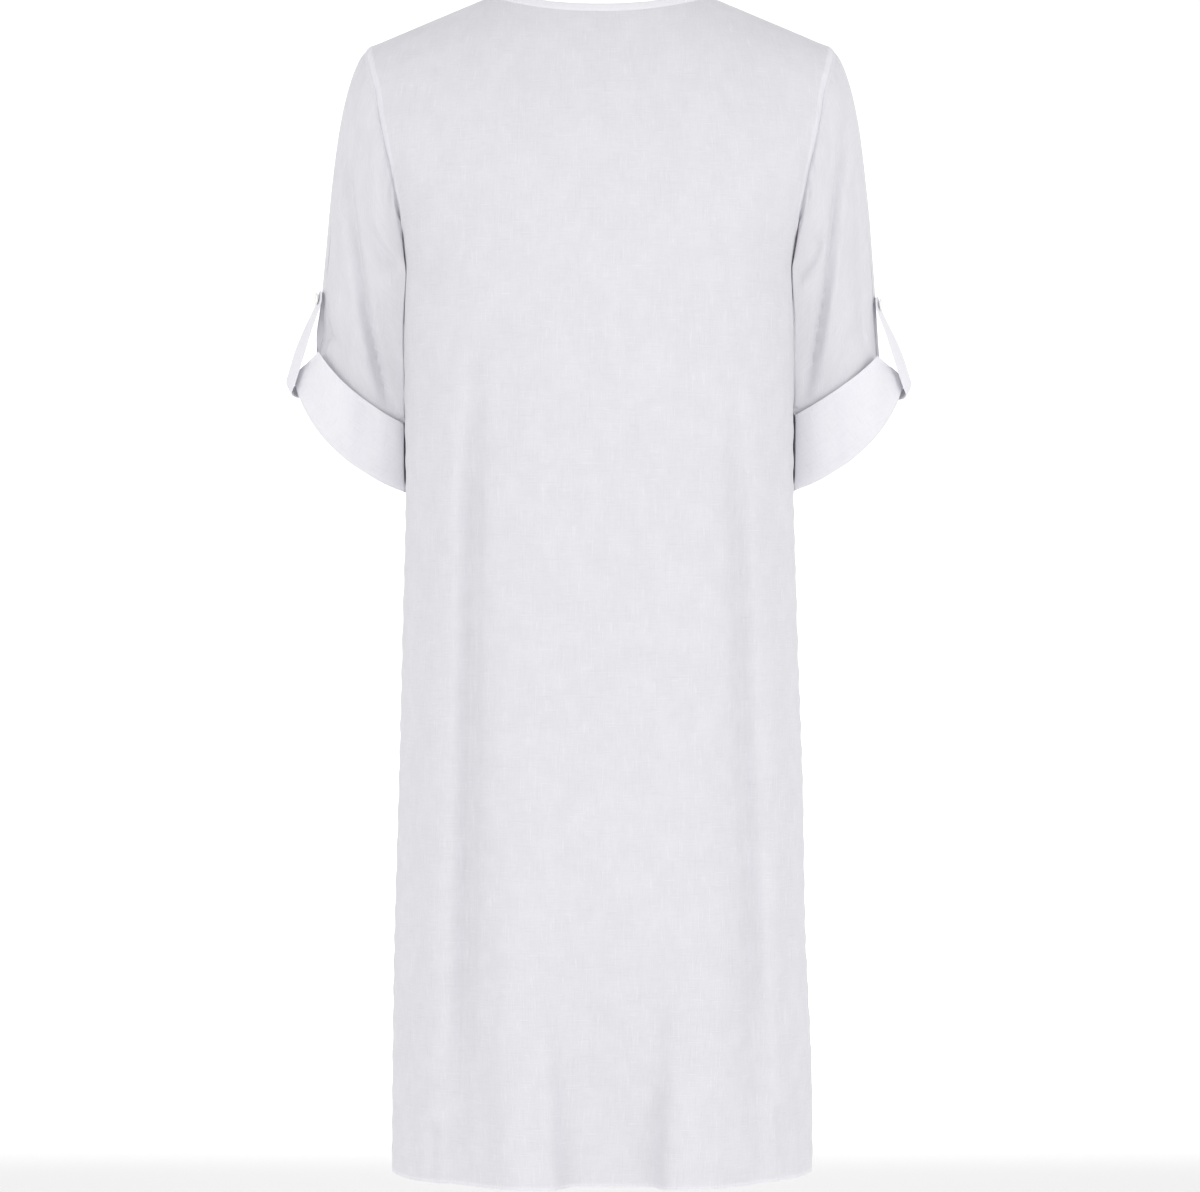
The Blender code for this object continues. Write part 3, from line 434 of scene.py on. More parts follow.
# Where a noise starts and ends to show, and how strongly it then does
Span = namedtuple("Span", "low high")
WARP_THICK = Span(0.56, 0.76)
WEFT_THICK = Span(0.58, 0.78)
YARN_THIN = Span(0.44, 0.26)
MOTTLE_SPAN = Span(0.35, 0.7)
YARN_DARK = Span(0.58, 0.36)
YARN_SPAN = Span(0.3, 0.7)
LINEN_ROUGHNESS = Span(0.97, 0.84)
SLUB_SHARE = 0.36
THIN_SHARE = 0.34
MOTTLE_SHARE = 0.17
YARN_SHARE = 0.20
SLUB_LIGHT = 1.06
THIN_DARK = 0.90
LINEN_SHEEN = 0.12
LINEN_SHEEN_ROUGHNESS = 0.5
LINEN_SPECULAR = 0.25

# Linen's relief: the weave's pitch, and how high the weave, the yarns and the slubs stand
WEAVE_PITCH = 0.00058
WEAVE_HEIGHT = 0.25
YARN_HEIGHT = 0.9
SLUB_HEIGHT = 0.8
Relief = namedtuple("Relief", "strength distance")
LINEN_RELIEF = Relief(0.45, 0.00022)

# Thread's twist and a button's clouds, in waves a metre
THREAD_WAVES = 900.0
THREAD_ROUGHNESS = Span(0.60, 0.85)
THREAD_RELIEF = Relief(0.4, 0.00008)
PEARL_WAVES = 320.0
PEARL_DETAIL = 4.0
PEARL_DISTORTION = 1.6
PEARL_CLOUDS = Span(0.35, 0.68)
PEARL_NOISE = Span(0.3, 0.7)
PEARL_ROUGHNESS = Span(0.24, 0.42)
PEARL_COAT = 0.3
PEARL_COAT_ROUGHNESS = 0.2
PEARL_RELIEF = Relief(0.15, 0.0001)

# The backdrop: a floor below the hem that sweeps up behind the dress, and glows more higher up
FLOOR_Z = HEM_Z - 0.15
FLOOR_NEAR = 2.6
SWEEP_START = 0.9
SWEEP_RADIUS = 0.9
SWEEP_STEPS = 17
BACKDROP_HEIGHT = 4.2
BACKDROP_HALF_WIDTH = 4.0
BACKDROP_GREY = 0.62
GLOW_RISE = 0.045
GLOW = Span(0.23, 0.62)

# Soft lamps: place, aim, width and height in metres, and power in watts
Lamp = namedtuple("Lamp", "name place aim size power")
LAMPS = (
    Lamp("key", (2.0, 2.7, -0.2), (0.0, 0.0, -0.7), (1.4, 1.8), 24.0),
    Lamp("side_left", (1.6, 0.6, -0.65), (0.15, 0.0, -0.65), (1.2, 1.8), 2.8),
    Lamp("side_right", (-1.6, 0.6, -0.65), (-0.15, 0.0, -0.65), (1.2, 1.8), 2.6),
    Lamp("fill", (-2.2, 2.5, -0.3), (0.0, 0.0, -0.75), (1.8, 1.6), 27.0),
)
WORLD_LIGHT = 0.78

# The camera stands behind the dress, level with its middle
CAMERA_DISTANCE = 3.6
CAMERA_Z = -0.5245
VIEW_WIDTH = 1.056
SENSOR_WIDTH = 36.0


def unit(vectors):
    """Vectors along the last axis, made one long."""
    vectors = np.asarray(vectors, dtype=float)
    length = np.linalg.norm(vectors, axis=-1, keepdims=True)
    return vectors / np.maximum(length, 1e-12)


def ease(value):
    """0 to 1 on a smooth step."""
    value = np.clip(value, 0.0, 1.0)
    return value * value * (3.0 - 2.0 * value)


def table_value(rows, field, z):
    """One column of a table at heights z, on a smooth curve through its rows."""
    heights = np.array([row.z for row in rows])
    values = np.array([getattr(row, field) for row in rows])
    slopes = np.gradient(values, heights)
    z = np.clip(z, heights[0], heights[-1])
    low = np.clip(np.searchsorted(heights, z) - 1, 0, len(rows) - 2)
    span = heights[low + 1] - heights[low]
    t = (z - heights[low]) / span
    return (
        values[low] * (1 + 2 * t) * (1 - t) ** 2
        + slopes[low] * span * t * (1 - t) ** 2
        + values[low + 1] * t * t * (3 - 2 * t)
        - slopes[low + 1] * span * t * t * (1 - t)
    )


def soft_noise(u, v, seed):
    """Smooth noise between -1 and 1, with hills about one unit apart."""
    lattice = np.random.default_rng(seed).uniform(-1.0, 1.0, (64, 64))
    u_cell = np.floor(u).astype(int)
    v_cell = np.floor(v).astype(int)
    s = ease(u - u_cell)
    t = ease(v - v_cell)
    corner = [
        lattice[(u_cell + du) % 64, (v_cell + dv) % 64] for du in (0, 1) for dv in (0, 1)
    ]
    return (
        (corner[0] * (1 - t) + corner[1] * t) * (1 - s)
        + (corner[2] * (1 - t) + corner[3] * t) * s
    )


def rumpled(rumple, x, z, seed_step):
    """A small wave pattern at places x and z."""
    u = x / rumple.width + rumple.shift_u
    v = z / rumple.height + rumple.shift_v
    return rumple.depth * soft_noise(u, v, rumple.seed + seed_step)


def hill(value, middle, width):
    """1 at the middle, falling away softly on both sides."""
    return np.exp(-(((value - middle) / width) ** 2))


def fold_offset(fold, x, z):
    """How far a long fold moves the cloth inwards."""
    along = (fold.top_z - z) / (fold.top_z - fold.low_z)
    middle = (fold.top_z - fold.mid_z) / (fold.top_z - fold.low_z)
    path = np.polyfit((0.0, middle, 1.0), (fold.top_x, fold.mid_x, fold.low_x), 2)
    share = np.clip(along, 0.0, 1.0)
    width = fold.top_width + (fold.low_width - fold.top_width) * share
    depth = fold.top_depth + (fold.low_depth - fold.top_depth) * share
    return depth * ease(along / FOLD_START) * hill(x, np.polyval(path, along), width)


def pleat_offset(x, z):
    """How far the soft inverted pleat of the back moves the cloth inwards."""
    inside = 1.0
    opening = 0.0
    for edge, sign in ((PLEAT_LEFT, 1.0), (PLEAT_RIGHT, -1.0)):
        along = (edge.top_z - z) / (edge.top_z - HEM_Z)
        opening = opening + 0.5 * ease(along)
        along = np.clip(along, 0.0, 1.0)
        edge_x = edge.top_x + (edge.hem_x - edge.top_x) * along
        turn = PLEAT_TOP_TURN + (PLEAT_HEM_TURN - PLEAT_TOP_TURN) * along
        inside = inside / (1.0 + np.exp(np.minimum(sign * (x - edge_x) / (0.5 * turn), 50.0)))
    return PLEAT_DEPTH * opening * inside


def crease_offset(crease, x, z):
    """How far a small crease moves the cloth inwards. It fades out at both of its ends."""
    steps = np.linspace(0.0, 1.0, CREASE_STEPS)
    xs = np.polyval(np.polyfit((0.0, 0.5, 1.0), (crease.x1, crease.x2, crease.x3), 2), steps)
    zs = np.polyval(np.polyfit((0.0, 0.5, 1.0), (crease.z1, crease.z2, crease.z3), 2), steps)
    shape = np.shape(x)
    x = np.ravel(x)[:, None]
    z = np.ravel(z)[:, None]
    step_x = np.diff(xs)
    step_z = np.diff(zs)
    span = step_x ** 2 + step_z ** 2
    share = np.clip(((x - xs[:-1]) * step_x + (z - zs[:-1]) * step_z) / span, 0.0, 1.0)
    off_x = x - xs[:-1] - share * step_x
    off_z = z - zs[:-1] - share * step_z
    distance = np.hypot(off_x, off_z)
    nearest = np.argmin(distance, axis=1)
    pick = np.arange(len(nearest))
    along = (nearest + share[pick, nearest]) / (CREASE_STEPS - 1)
    outside = off_x[pick, nearest] * math.copysign(1.0, crease.x2) > 0
    width = np.where(outside, crease.far, crease.near)
    fade = ease(along / CREASE_FADE_IN) * ease((1.0 - along) / CREASE_FADE_OUT)
    depth = crease.depth * fade * hill(distance[pick, nearest], 0.0, width)
    return depth.reshape(shape)


def shoulder_z(x):
    """Height of the shoulder line, which levels off towards a crown over the neck opening."""
    x = np.abs(x)
    slope = NECK_POINT_Z + (SHOULDER_TIP_Z - NECK_POINT_Z) * (x - NECK_POINT_X) / (
        SHOULDER_TIP_X - NECK_POINT_X
    )
    crown = NECK_POINT_Z + (CROWN_Z - NECK_POINT_Z) * (1.0 - (x / NECK_POINT_X) ** 2)
    return np.where(x >= NECK_POINT_X, slope, crown)


def neck_z(side, x):
    """Height of the neck edge on the back (side 1) or the front (side -1)."""
    share = np.minimum(np.abs(x) / NECK_POINT_X, 1.0)
    if side > 0:
        return BACK_NECK_Z + (NECK_POINT_Z - BACK_NECK_Z) * share ** NECK_CURVE_POWER
    level = (1.0 - share ** NECK_CURVE_POWER) ** (1 / NECK_CURVE_POWER)
    return NECK_POINT_Z - (NECK_POINT_Z - FRONT_NECK_Z) * level


def body_half_width(place, z):
    """Half width of the body below the armholes, on the wearer's side that a place lies on."""
    return np.where(
        place > 0, table_value(BODY_ROWS, "left", z), table_value(BODY_ROWS, "right", z)
    )


def section_depth(side, z):
    """Depth of the body's section, on the back (side 1) or the front (side -1)."""
    return table_value(BODY_ROWS, "back" if side > 0 else "front", z)


def armhole_x(place, z):
    """Distance of the armhole's edge from the middle line."""
    shift = body_half_width(place, UNDERARM_Z) - ARMHOLE_ROWS[0].x
    fade = 1.0 - ease((z - UNDERARM_Z) / ARMHOLE_SHIFT_FADE)
    return table_value(ARMHOLE_ROWS, "x", z) + shift * fade


def upper_half_width(place, z):
    """Half width of the whole upper body's section, which the armhole cuts into."""
    rise = np.maximum(z - UNDERARM_Z, 0.0)
    return armhole_x(place, z) + BODY_SPREAD * rise * rise / (rise + BODY_SPREAD_SOFTNESS)


def body_side_x(hand, y, z):
    """Distance of the body's side from the middle line, at depths and heights."""
    depth = np.where(y > 0, section_depth(1, z), section_depth(-1, z))
    share = np.minimum(np.abs(y) / depth, 1.0)
    return body_half_width(hand, z) * (1.0 - share ** SECTION_POWER) ** (1 / SECTION_POWER)


def panel_places(count, sharp_places):
    """Places across a panel, evenly far apart along the cloth, and closer at sharp turns."""
    turn = np.linspace(0.0, math.pi, FINE_STEPS)
    fine = -np.sign(np.cos(turn)) * np.abs(np.cos(turn)) ** (2 / SECTION_POWER)
    deep = np.sin(turn) ** (2 / SECTION_POWER)
    top = BODY_ROWS[-1]
    length = np.hypot(np.diff(fine) * top.left, np.diff(deep) * top.back)
    middle = 0.5 * (fine[1:] + fine[:-1])
    for place in sharp_places:
        length = length * (1.0 + SHARP_EXTRA * hill(middle, place, SHARP_WIDTH))
    total = np.concatenate(([0.0], np.cumsum(length)))
    places = np.interp(np.linspace(0.0, total[-1], count), total, fine)
    for target in (-NECK_COLUMN, NECK_COLUMN):
        places[int(np.argmin(np.abs(places - target)))] = target
    return places


def top_x(place):
    """Where a column of a panel ends, on the neck edge or the shoulder seam."""
    share = np.abs(place)
    neck = NECK_POINT_X * np.sin(0.5 * math.pi * np.minimum(share / NECK_COLUMN, 1.0))
    beyond = (share - NECK_COLUMN) / (1.0 - NECK_COLUMN)
    shoulder = NECK_POINT_X + (SHOULDER_TIP_X - NECK_POINT_X) * beyond
    return np.sign(place) * np.where(share <= NECK_COLUMN, neck, shoulder)


def lower_points(side, places):
    """Points of a panel below the armholes, in rows from the hem up."""
    heights = np.linspace(HEM_Z, UNDERARM_Z, LOWER_ROWS + 1)
    place, z = np.meshgrid(places, heights)
    x = place * body_half_width(place, z)
    share = np.maximum(1.0 - np.abs(place) ** SECTION_POWER, 0.0) ** (1 / SECTION_POWER)
    y = section_depth(side, z) * share
    folds = BACK_FOLDS if side > 0 else FRONT_FOLDS
    inwards = sum(fold_offset(fold, x, z) for fold in folds)
    if side > 0:
        inwards = inwards + pleat_offset(x, z)
    inwards = inwards * ease((1.0 - np.abs(place)) / PANEL_EDGE_FADE)
    y = np.maximum(y - inwards, 0.5 * SEAM_GAP)
    return np.stack([x, side * y, z], axis=-1)


def upper_points(side, places):
    """Points of a panel above the underarm. The last row is the neck edge or shoulder seam."""
    power = BACK_CROWN_POWER if side > 0 else FRONT_CROWN_POWER
    steps = np.linspace(0.0, 1.0, UPPER_ROWS + 1)[1:]
    place, share = np.meshgrid(places, steps)
    end_x = top_x(place)
    reach = (neck_z(side, end_x) - UNDERARM_Z) / (shoulder_z(end_x) - UNDERARM_Z)
    top_angle = np.arcsin(np.clip(reach, 0.0, 1.0) ** (power / 2))
    top_angle = np.where(np.abs(place) < NECK_COLUMN - 1e-6, top_angle, 0.5 * math.pi)
    angle = top_angle * share
    rise = np.sin(angle) ** (2 / power)
    edge_rise = np.sin(0.5 * math.pi * share) ** (2 / power)
    edge_z = UNDERARM_Z + (SHOULDER_TIP_Z - UNDERARM_Z) * edge_rise
    blend = ease(share)
    x = armhole_x(place, edge_z) * (place * (1.0 - blend) + end_x / SHOULDER_TIP_X * blend)
    z = UNDERARM_Z + (shoulder_z(x) - UNDERARM_Z) * rise
    width = upper_half_width(place, z)
    inside = np.maximum(1.0 - (np.abs(x) / width) ** SECTION_POWER, 0.0) ** (1 / SECTION_POWER)
    y = section_depth(side, UNDERARM_Z) * inside * np.maximum(np.cos(angle), 0.0) ** (2 / power)
    return np.stack([x, side * np.maximum(y, 0.5 * SEAM_GAP), z], axis=-1)


def grid_normals(grid, outward, wrap=False):
    """Unit normals of a grid of points, on the side that the outward vectors point to."""
    down = np.gradient(grid, axis=0)
    if wrap:
        across = 0.5 * (np.roll(grid, -1, axis=1) - np.roll(grid, 1, axis=1))
    else:
        across = np.gradient(grid, axis=1)
    normals = unit(np.cross(across, down))
    facing = np.sum(normals * outward, axis=-1)
    return normals * np.where(facing.sum() < 0, -1.0, 1.0)


def run_lengths(grid, axis):
    """Length along the cloth from the start of each row or column."""
    steps = np.linalg.norm(np.diff(grid, axis=axis), axis=-1)
    lengths = np.cumsum(steps, axis=axis)
    start = np.zeros_like(np.take(lengths, [0], axis=axis))
    return np.concatenate([start, lengths], axis=axis)


Cloth = namedtuple("Cloth", "outer inner flat layers")
Panel = namedtuple("Panel", "places outer inner normals flat layers up")


def make_panel(side):
    """The back (side 1) or front (side -1) panel, with its creases and sunken seam edges."""
    pleats = [PLEAT_LEFT.hem_x / BODY_ROWS[0].left, PLEAT_RIGHT.hem_x / BODY_ROWS[0].right]
    columns, turns = (BACK_COLUMNS, pleats) if side > 0 else (FRONT_COLUMNS, [])
    places = panel_places(columns, turns)
    outer = np.concatenate([lower_points(side, places), upper_points(side, places)])
    outward = np.zeros_like(outer)
    outward[..., 1] = side
    normals = grid_normals(outer, outward)
    across = run_lengths(outer, 1)
    up = run_lengths(outer, 0)
    from_sides = np.minimum(across, across[:, -1:] - across)
    from_top = up[-1:] - up
    shoulder = np.abs(places) >= NECK_COLUMN - 1e-6
    from_seam = np.where(shoulder, np.minimum(from_sides, from_top), from_sides)
    x, z = outer[..., 0], outer[..., 2]
    creases = BACK_CREASES if side > 0 else FRONT_CREASES
    inwards = sum(crease_offset(crease, x, z) for crease in creases)
    for rumple in RUMPLES:
        inwards = inwards + rumpled(rumple, x, z, side)
    inwards = inwards * ease(from_seam / FLAT_BY_SEAM) * ease(from_top / FLAT_BY_TOP)
    ripple = rumpled(HEM_RIPPLE, across, z, side) * hill(up, 0.0, HEM_RIPPLE_REACH)
    inwards = inwards + ripple * ease(from_sides / HEM_RIPPLE_START)
    drift = SIDE_PUCKER_DRIFT * np.sin(up / SIDE_PUCKER_DRIFT_PITCH)
    pucker = SIDE_PUCKER * np.sin(up / SIDE_PUCKER_PITCH + drift)
    pucker = pucker * hill(from_sides, 0.0, SIDE_PUCKER_REACH) * ease(from_sides / SIDE_PUCKER_START)
    inwards = inwards + pucker + SEAM_DIP * hill(from_seam, 0.0, SEAM_DIP_WIDTH)
    inwards = inwards - SEAM_RIDGE * hill(from_seam, SEAM_RIDGE_PLACE, SEAM_RIDGE_WIDTH)
    normals[: LOWER_ROWS + 1, [0, -1], 1] = 0.0
    normals[-1, shoulder, 1] = 0.0
    normals = unit(normals)
    outer = outer - inwards[..., None] * normals
    middle = across[:, [len(places) // 2]]
    flat = np.stack([across - middle, up], axis=-1)
    layers = 1.0 - ease((from_seam - SEAM_ALLOWANCE) / LAYER_EDGE + 0.5)
    layers = np.maximum(layers, 1.0 - ease((up - HEM_DEPTH) / LAYER_EDGE + 0.5))
    return Panel(places, outer, outer - CLOTH * normals, normals, flat, layers, up)


def doubled_ends(first_half, second_half):
    """One closed loop from two halves that share their ends."""
    start = 0.5 * (first_half[0] + second_half[-1])
    turn = 0.5 * (first_half[-1] + second_half[0])
    return np.vstack([start, first_half[1:-1], turn, second_half[1:-1]])


def looped(points):
    """A closed line's points with the first one repeated at the end."""
    return np.vstack([points, points[:1]])


def even_loop(loop, count, half):
    """A closed loop resampled so that each of its two halves has evenly spaced points."""
    loop = looped(loop)
    travelled = path_lengths(loop)
    first = np.linspace(0.0, travelled[half], count // 2 + 1)[:-1]
    second = np.linspace(travelled[half], travelled[-1], count // 2 + 1)[:-1]
    wanted = np.concatenate([first, second])
    return np.stack([np.interp(wanted, travelled, loop[:, k]) for k in range(3)], axis=1)


def armhole_ring(back, front, hand):
    """The sleeve's first ring: from the shoulder tip down the back's armhole and up the front's."""
    column = -1 if hand > 0 else 0
    rings = []
    for field in ("outer", "inner"):
        down_back = getattr(back, field)[LOWER_ROWS:, column][::-1]
        up_front = getattr(front, field)[LOWER_ROWS:, column]
        loop = doubled_ends(down_back, up_front)
        rings.append(even_loop(loop, SLEEVE_COLUMNS, len(down_back) - 1))
    outer, inner = rings
    shift = np.array([hand * SEAM_GAP, 0.0, 0.0])
    return outer + shift, inner + shift


def lean_on_body(ring, inward, hand):
    """Draws the inner side of a ring in, to where the sleeve hangs against the body's side."""
    below = ease((UNDERARM_Z + LEAN_RISE - ring[:, 2]) / (LEAN_RISE + LEAN_START))
    pull = below * ease((inward - LEAN_FROM) / LEAN_TURN)
    rest = body_side_x(hand, ring[:, 1], np.minimum(ring[:, 2], UNDERARM_Z)) + BODY_CLEARANCE
    rest += armhole_x(hand, np.maximum(ring[:, 2], UNDERARM_Z)) - armhole_x(hand, UNDERARM_Z)
    ring = ring.copy()
    ring[:, 0] += hand * pull * np.minimum(rest - hand * ring[:, 0], 0.0)
    return ring


def path_lengths(path):
    """How far along a path each of its points lies."""
    steps = np.linalg.norm(np.diff(path, axis=0), axis=1)
    return np.concatenate(([0.0], np.cumsum(steps)))


def keep_clear_of_body(ring, hand, extra):
    """Moves the inner side of a ring out to where the sleeve hangs against the body's side."""
    nearest = body_side_x(hand, ring[:, 1], ring[:, 2]) + BODY_CLEARANCE + extra
    below = ease((UNDERARM_Z - ring[:, 2]) / CLEAR_FADE)
    kept = np.maximum(hand * ring[:, 0], nearest)
    ring = ring.copy()
    ring[:, 0] += hand * below * (kept - hand * ring[:, 0])
    return ring


def corner_reach(angles):
    """How much farther out than on an ellipse the cloth lies, where it turns in behind the body."""
    turn = np.abs(np.cos(angles)) ** CORNER_POWER + np.abs(np.sin(angles)) ** CORNER_POWER
    behind = (angles > 0.5 * math.pi) & (angles < math.pi)
    return np.where(behind, turn ** (-1 / CORNER_POWER), 1.0)


def cuff_ring(row, angles, hand):
    """Points round the lower or upper edge of a cuff."""
    middle_x = 0.5 * (row.outer_x + row.inner_x)
    half_width = 0.5 * (row.outer_x - row.inner_x)
    reach = corner_reach(angles)
    x = middle_x + half_width * reach * np.cos(angles)
    y = row.middle_y + row.half_depth * reach * np.sin(angles)
    turned = np.arccos(np.clip((x - middle_x) / half_width, -1.0, 1.0))
    level = math.radians(row.level)
    dip = row.dip * np.maximum(1.0 - (turned / level) ** 2, 0.0)
    fall = np.maximum(turned - level, 0.0) / (math.pi - level)
    z = row.top_z - dip - row.drop * np.sin(0.5 * math.pi * (1.0 - (1.0 - fall) ** row.hang))
    return np.stack([hand * x, y, z], axis=1)


CuffFrame = namedtuple("CuffFrame", "low high up out swell")


def cuff_frame(name, angles, hand):
    """The cuff's lower and upper edge points, its up and outward directions and its swell there."""
    low = keep_clear_of_body(cuff_ring(CUFF_LOWER[name], angles, hand), hand, CUFF_CLEARANCE)
    high = keep_clear_of_body(cuff_ring(CUFF_UPPER[name], angles, hand), hand, CUFF_CLEARANCE)
    up = unit(high - low)
    along = np.roll(low, -1, axis=0) - np.roll(low, 1, axis=0)
    along += np.roll(high, -1, axis=0) - np.roll(high, 1, axis=0)
    out = unit(np.cross(along, up))
    centre = 0.5 * (low.mean(axis=0) + high.mean(axis=0))
    if np.sum(out * (low - centre)) < 0:
        out = -out
    outward = 0.5 * (1.0 + np.cos(angles))
    return CuffFrame(low, high, up, out, CUFF_SWELL * outward[:, None] * out)


def way_directions(way, angles, hand):
    """The slope of a sleeve's surface at one of its ends, all round."""
    turn = np.cos(angles)
    inward = 0.5 * (1.0 - turn)
    x = way.mean_x + way.side_x * turn
    y = way.lean_y * np.sin(angles) + way.inner_y * inward ** 4
    z = way.mean_z + way.side_z * turn
    return np.stack([hand * x, y, z], axis=1)


def turn_in_square(ring, angles, step):
    """Squares the corner where the back of a sleeve turns in behind the body's side."""
    more = ease(step / CORNER_START) - step * step * (3 - 2 * step)
    below = ease((UNDERARM_Z + LEAN_START - ring[:, 2]) / (2 * LEAN_START))
    share = below * more * (corner_reach(angles) - 1.0)
    ring = ring.copy()
    ring[:, :2] += share[:, None] * (ring[:, :2] - ring[:, :2].mean(axis=0))
    return ring


def closed(grid):
    """A grid round a tube with its first column repeated at the end."""
    return np.concatenate([grid, grid[:, :1]], axis=1)


def tube_flat(outer, down):
    """Places on the flat cloth of a tube: how far round it and how far down."""
    return np.stack([run_lengths(closed(outer), 1), closed(down)], axis=-1)


def make_sleeve(name, hand, back, front, angles, cuff):
    """A sleeve from the armhole down into the cuff, with its creases."""
    start, start_inner = armhole_ring(back, front, hand)
    outward = 0.5 * (1.0 + np.cos(angles))
    stand = CUFF_CLOTH + CUFF_RIM_STAND + CUFF_RIM_OPENING * outward ** 4
    rim = cuff.high - stand[:, None] * cuff.out
    depth = CUFF_CLOTH + CUFF_SLACK + HIDDEN_DEPTH
    middle = 0.5 * (cuff.low + cuff.high) + cuff.swell - depth * cuff.out
    end = cuff.low + (CUFF_CLOTH + FOLD_GAP) * (cuff.up - cuff.out)
    leave = way_directions(LEAVING, angles, hand)
    arrive = way_directions(ARRIVING, angles, hand)
    rings = [start]
    for step in np.linspace(0.0, 1.0, SLEEVE_ROWS + 1)[1:-1]:
        ring = (
            start * (1 + 2 * step) * (1 - step) ** 2
            + leave * step * (1 - step) ** 2
            + rim * step * step * (3 - 2 * step)
            - arrive * step * step * (1 - step)
        )
        leaned = turn_in_square(ring, angles, step)
        leaned = keep_clear_of_body(lean_on_body(leaned, 1.0 - outward, hand), hand, 0.0)
        rings.append(ring + ease((step - LEAN_AFTER) / LEAN_OVER) * (leaned - ring))
    rings.append(rim)
    for share in np.linspace(0.0, 1.0, 5)[1:]:
        rings.append(
            rim * (1 - share) * (1 - 2 * share)
            + middle * 4 * share * (1 - share)
            + end * share * (2 * share - 1)
        )
    grid = np.array(rings)
    away = grid - grid.mean(axis=1, keepdims=True)
    normals = grid_normals(grid, away, wrap=True)
    down = run_lengths(grid, 0)
    x, z = hand * grid[..., 0], grid[..., 2]
    behind = ease(normals[..., 1] / CREASE_TURN)
    ahead = ease(-normals[..., 1] / CREASE_TURN)
    inwards = behind * sum(crease_offset(crease, x, z) for crease in SLEEVE_BACK_CREASES[name])
    inwards += ahead * sum(crease_offset(crease, x, z) for crease in SLEEVE_FRONT_CREASES[name])
    round_it = np.linspace(0.0, 1.0, len(angles), endpoint=False)[None, :] * np.ones_like(x)
    inwards += rumpled(SLEEVE_WAVE, np.minimum(round_it, 1.0 - round_it), down, hand)
    drift = SLEEVE_PUCKER_DRIFT * np.sin(angles * SLEEVE_PUCKER_DRIFTS)
    puckers = np.sin(angles * SLEEVE_PUCKERS + drift)[None, :]
    near_seam = ease(down / SLEEVE_PUCKER_START) * hill(down, 0.0, SLEEVE_PUCKER_REACH)
    inwards += SLEEVE_PUCKER * puckers * near_seam
    from_rim = ease((down[SLEEVE_ROWS] - down) / SLEEVE_CREASE_END)
    inwards *= ease(down / SLEEVE_CREASE_START)
    inwards *= SLEEVE_CREASE_LEFT + (1.0 - SLEEVE_CREASE_LEFT) * from_rim
    inwards += SEAM_DIP * hill(down, 0.0, SEAM_DIP_WIDTH)
    inwards[SLEEVE_ROWS + 1:] = 0.0
    outer = grid - inwards[..., None] * normals
    inner = outer - CLOTH * normals
    inner[0] = start_inner
    allowance = SLEEVE_LAYER_SHARE * SEAM_ALLOWANCE
    layers = 1.0 - ease((down - allowance) / SLEEVE_LAYER_EDGE + 0.5)
    return Cloth(outer, inner, tube_flat(outer, down), layers)


def cuff_dents(name, degrees, share):
    """How far a cuff's soft dents move its cloth inwards, at a share of its height."""
    dents = 0.0
    for dent in CUFF_DENTS[name]:
        middle = dent.fold + (dent.rim - dent.fold) * share
        width = dent.width * (DENT_FOLD_WIDTH - DENT_NARROWING * share)
        dents = dents + dent.depth * hill(degrees, middle, width)
    near_rim = ease((1.0 - share) / DENT_RIM_FADE + DENT_RIM_LEFT)
    return dents * near_rim * ease(share / DENT_FOLD_FADE + DENT_FOLD_LEFT)


def make_cuff(name, angles, cuff):
    """The turned-up cuff: its doubled cloth from the rim down, round the fold and up inside."""
    height = np.linalg.norm(cuff.high - cuff.low, axis=1)[:, None]
    degrees = np.degrees(angles)
    outer = []
    for share in np.linspace(1.0, 0.0, CUFF_ROWS):
        swell = 4.0 * share * (1.0 - share) * cuff.swell
        inwards = cuff_dents(name, degrees, share)
        wave_place = np.full_like(degrees, share * CUFF_WAVES_UP)
        wave = soft_noise(degrees / CUFF_WAVE_DEGREES, wave_place, CUFF_WAVE_SEED)
        inwards = inwards + CUFF_WAVE * wave
        point = cuff.low + share * (cuff.high - cuff.low)
        point = point + swell - inwards[:, None] * cuff.out
        rounding = np.clip(1.0 - share * height / CUFF_EDGE_HEIGHT, 0.0, 1.0)
        outer.append(point - CUFF_EDGE_DEPTH * rounding ** 2 * cuff.out)
    lip = CUFF_CLOTH + FOLD_GAP + CLOTH
    for turn in CUFF_TURNS:
        outer.append(cuff.low - (turn.lips * lip + turn.inward) * cuff.out + turn.up * cuff.up)
    outer = np.array(outer)
    down = np.gradient(outer, axis=0)
    across = 0.5 * (np.roll(outer, -1, axis=1) - np.roll(outer, 1, axis=1))
    normals = unit(np.cross(across, down))
    if np.sum(normals[: CUFF_ROWS // 2] * cuff.out) < 0:
        normals = -normals
    thickness = np.full(len(outer), DOUBLE_CLOTH)
    thickness[CUFF_ROWS:] = np.linspace(DOUBLE_CLOTH, 0.5 * CLOTH, len(CUFF_TURNS))
    thickness[0] = 0.5 * DOUBLE_CLOTH
    inner = outer - thickness[:, None, None] * normals
    outer[0] -= 0.25 * DOUBLE_CLOTH * normals[0]
    flat = tube_flat(outer, run_lengths(outer, 0))
    return Cloth(outer, inner, flat, np.ones(outer.shape[:2])), normals


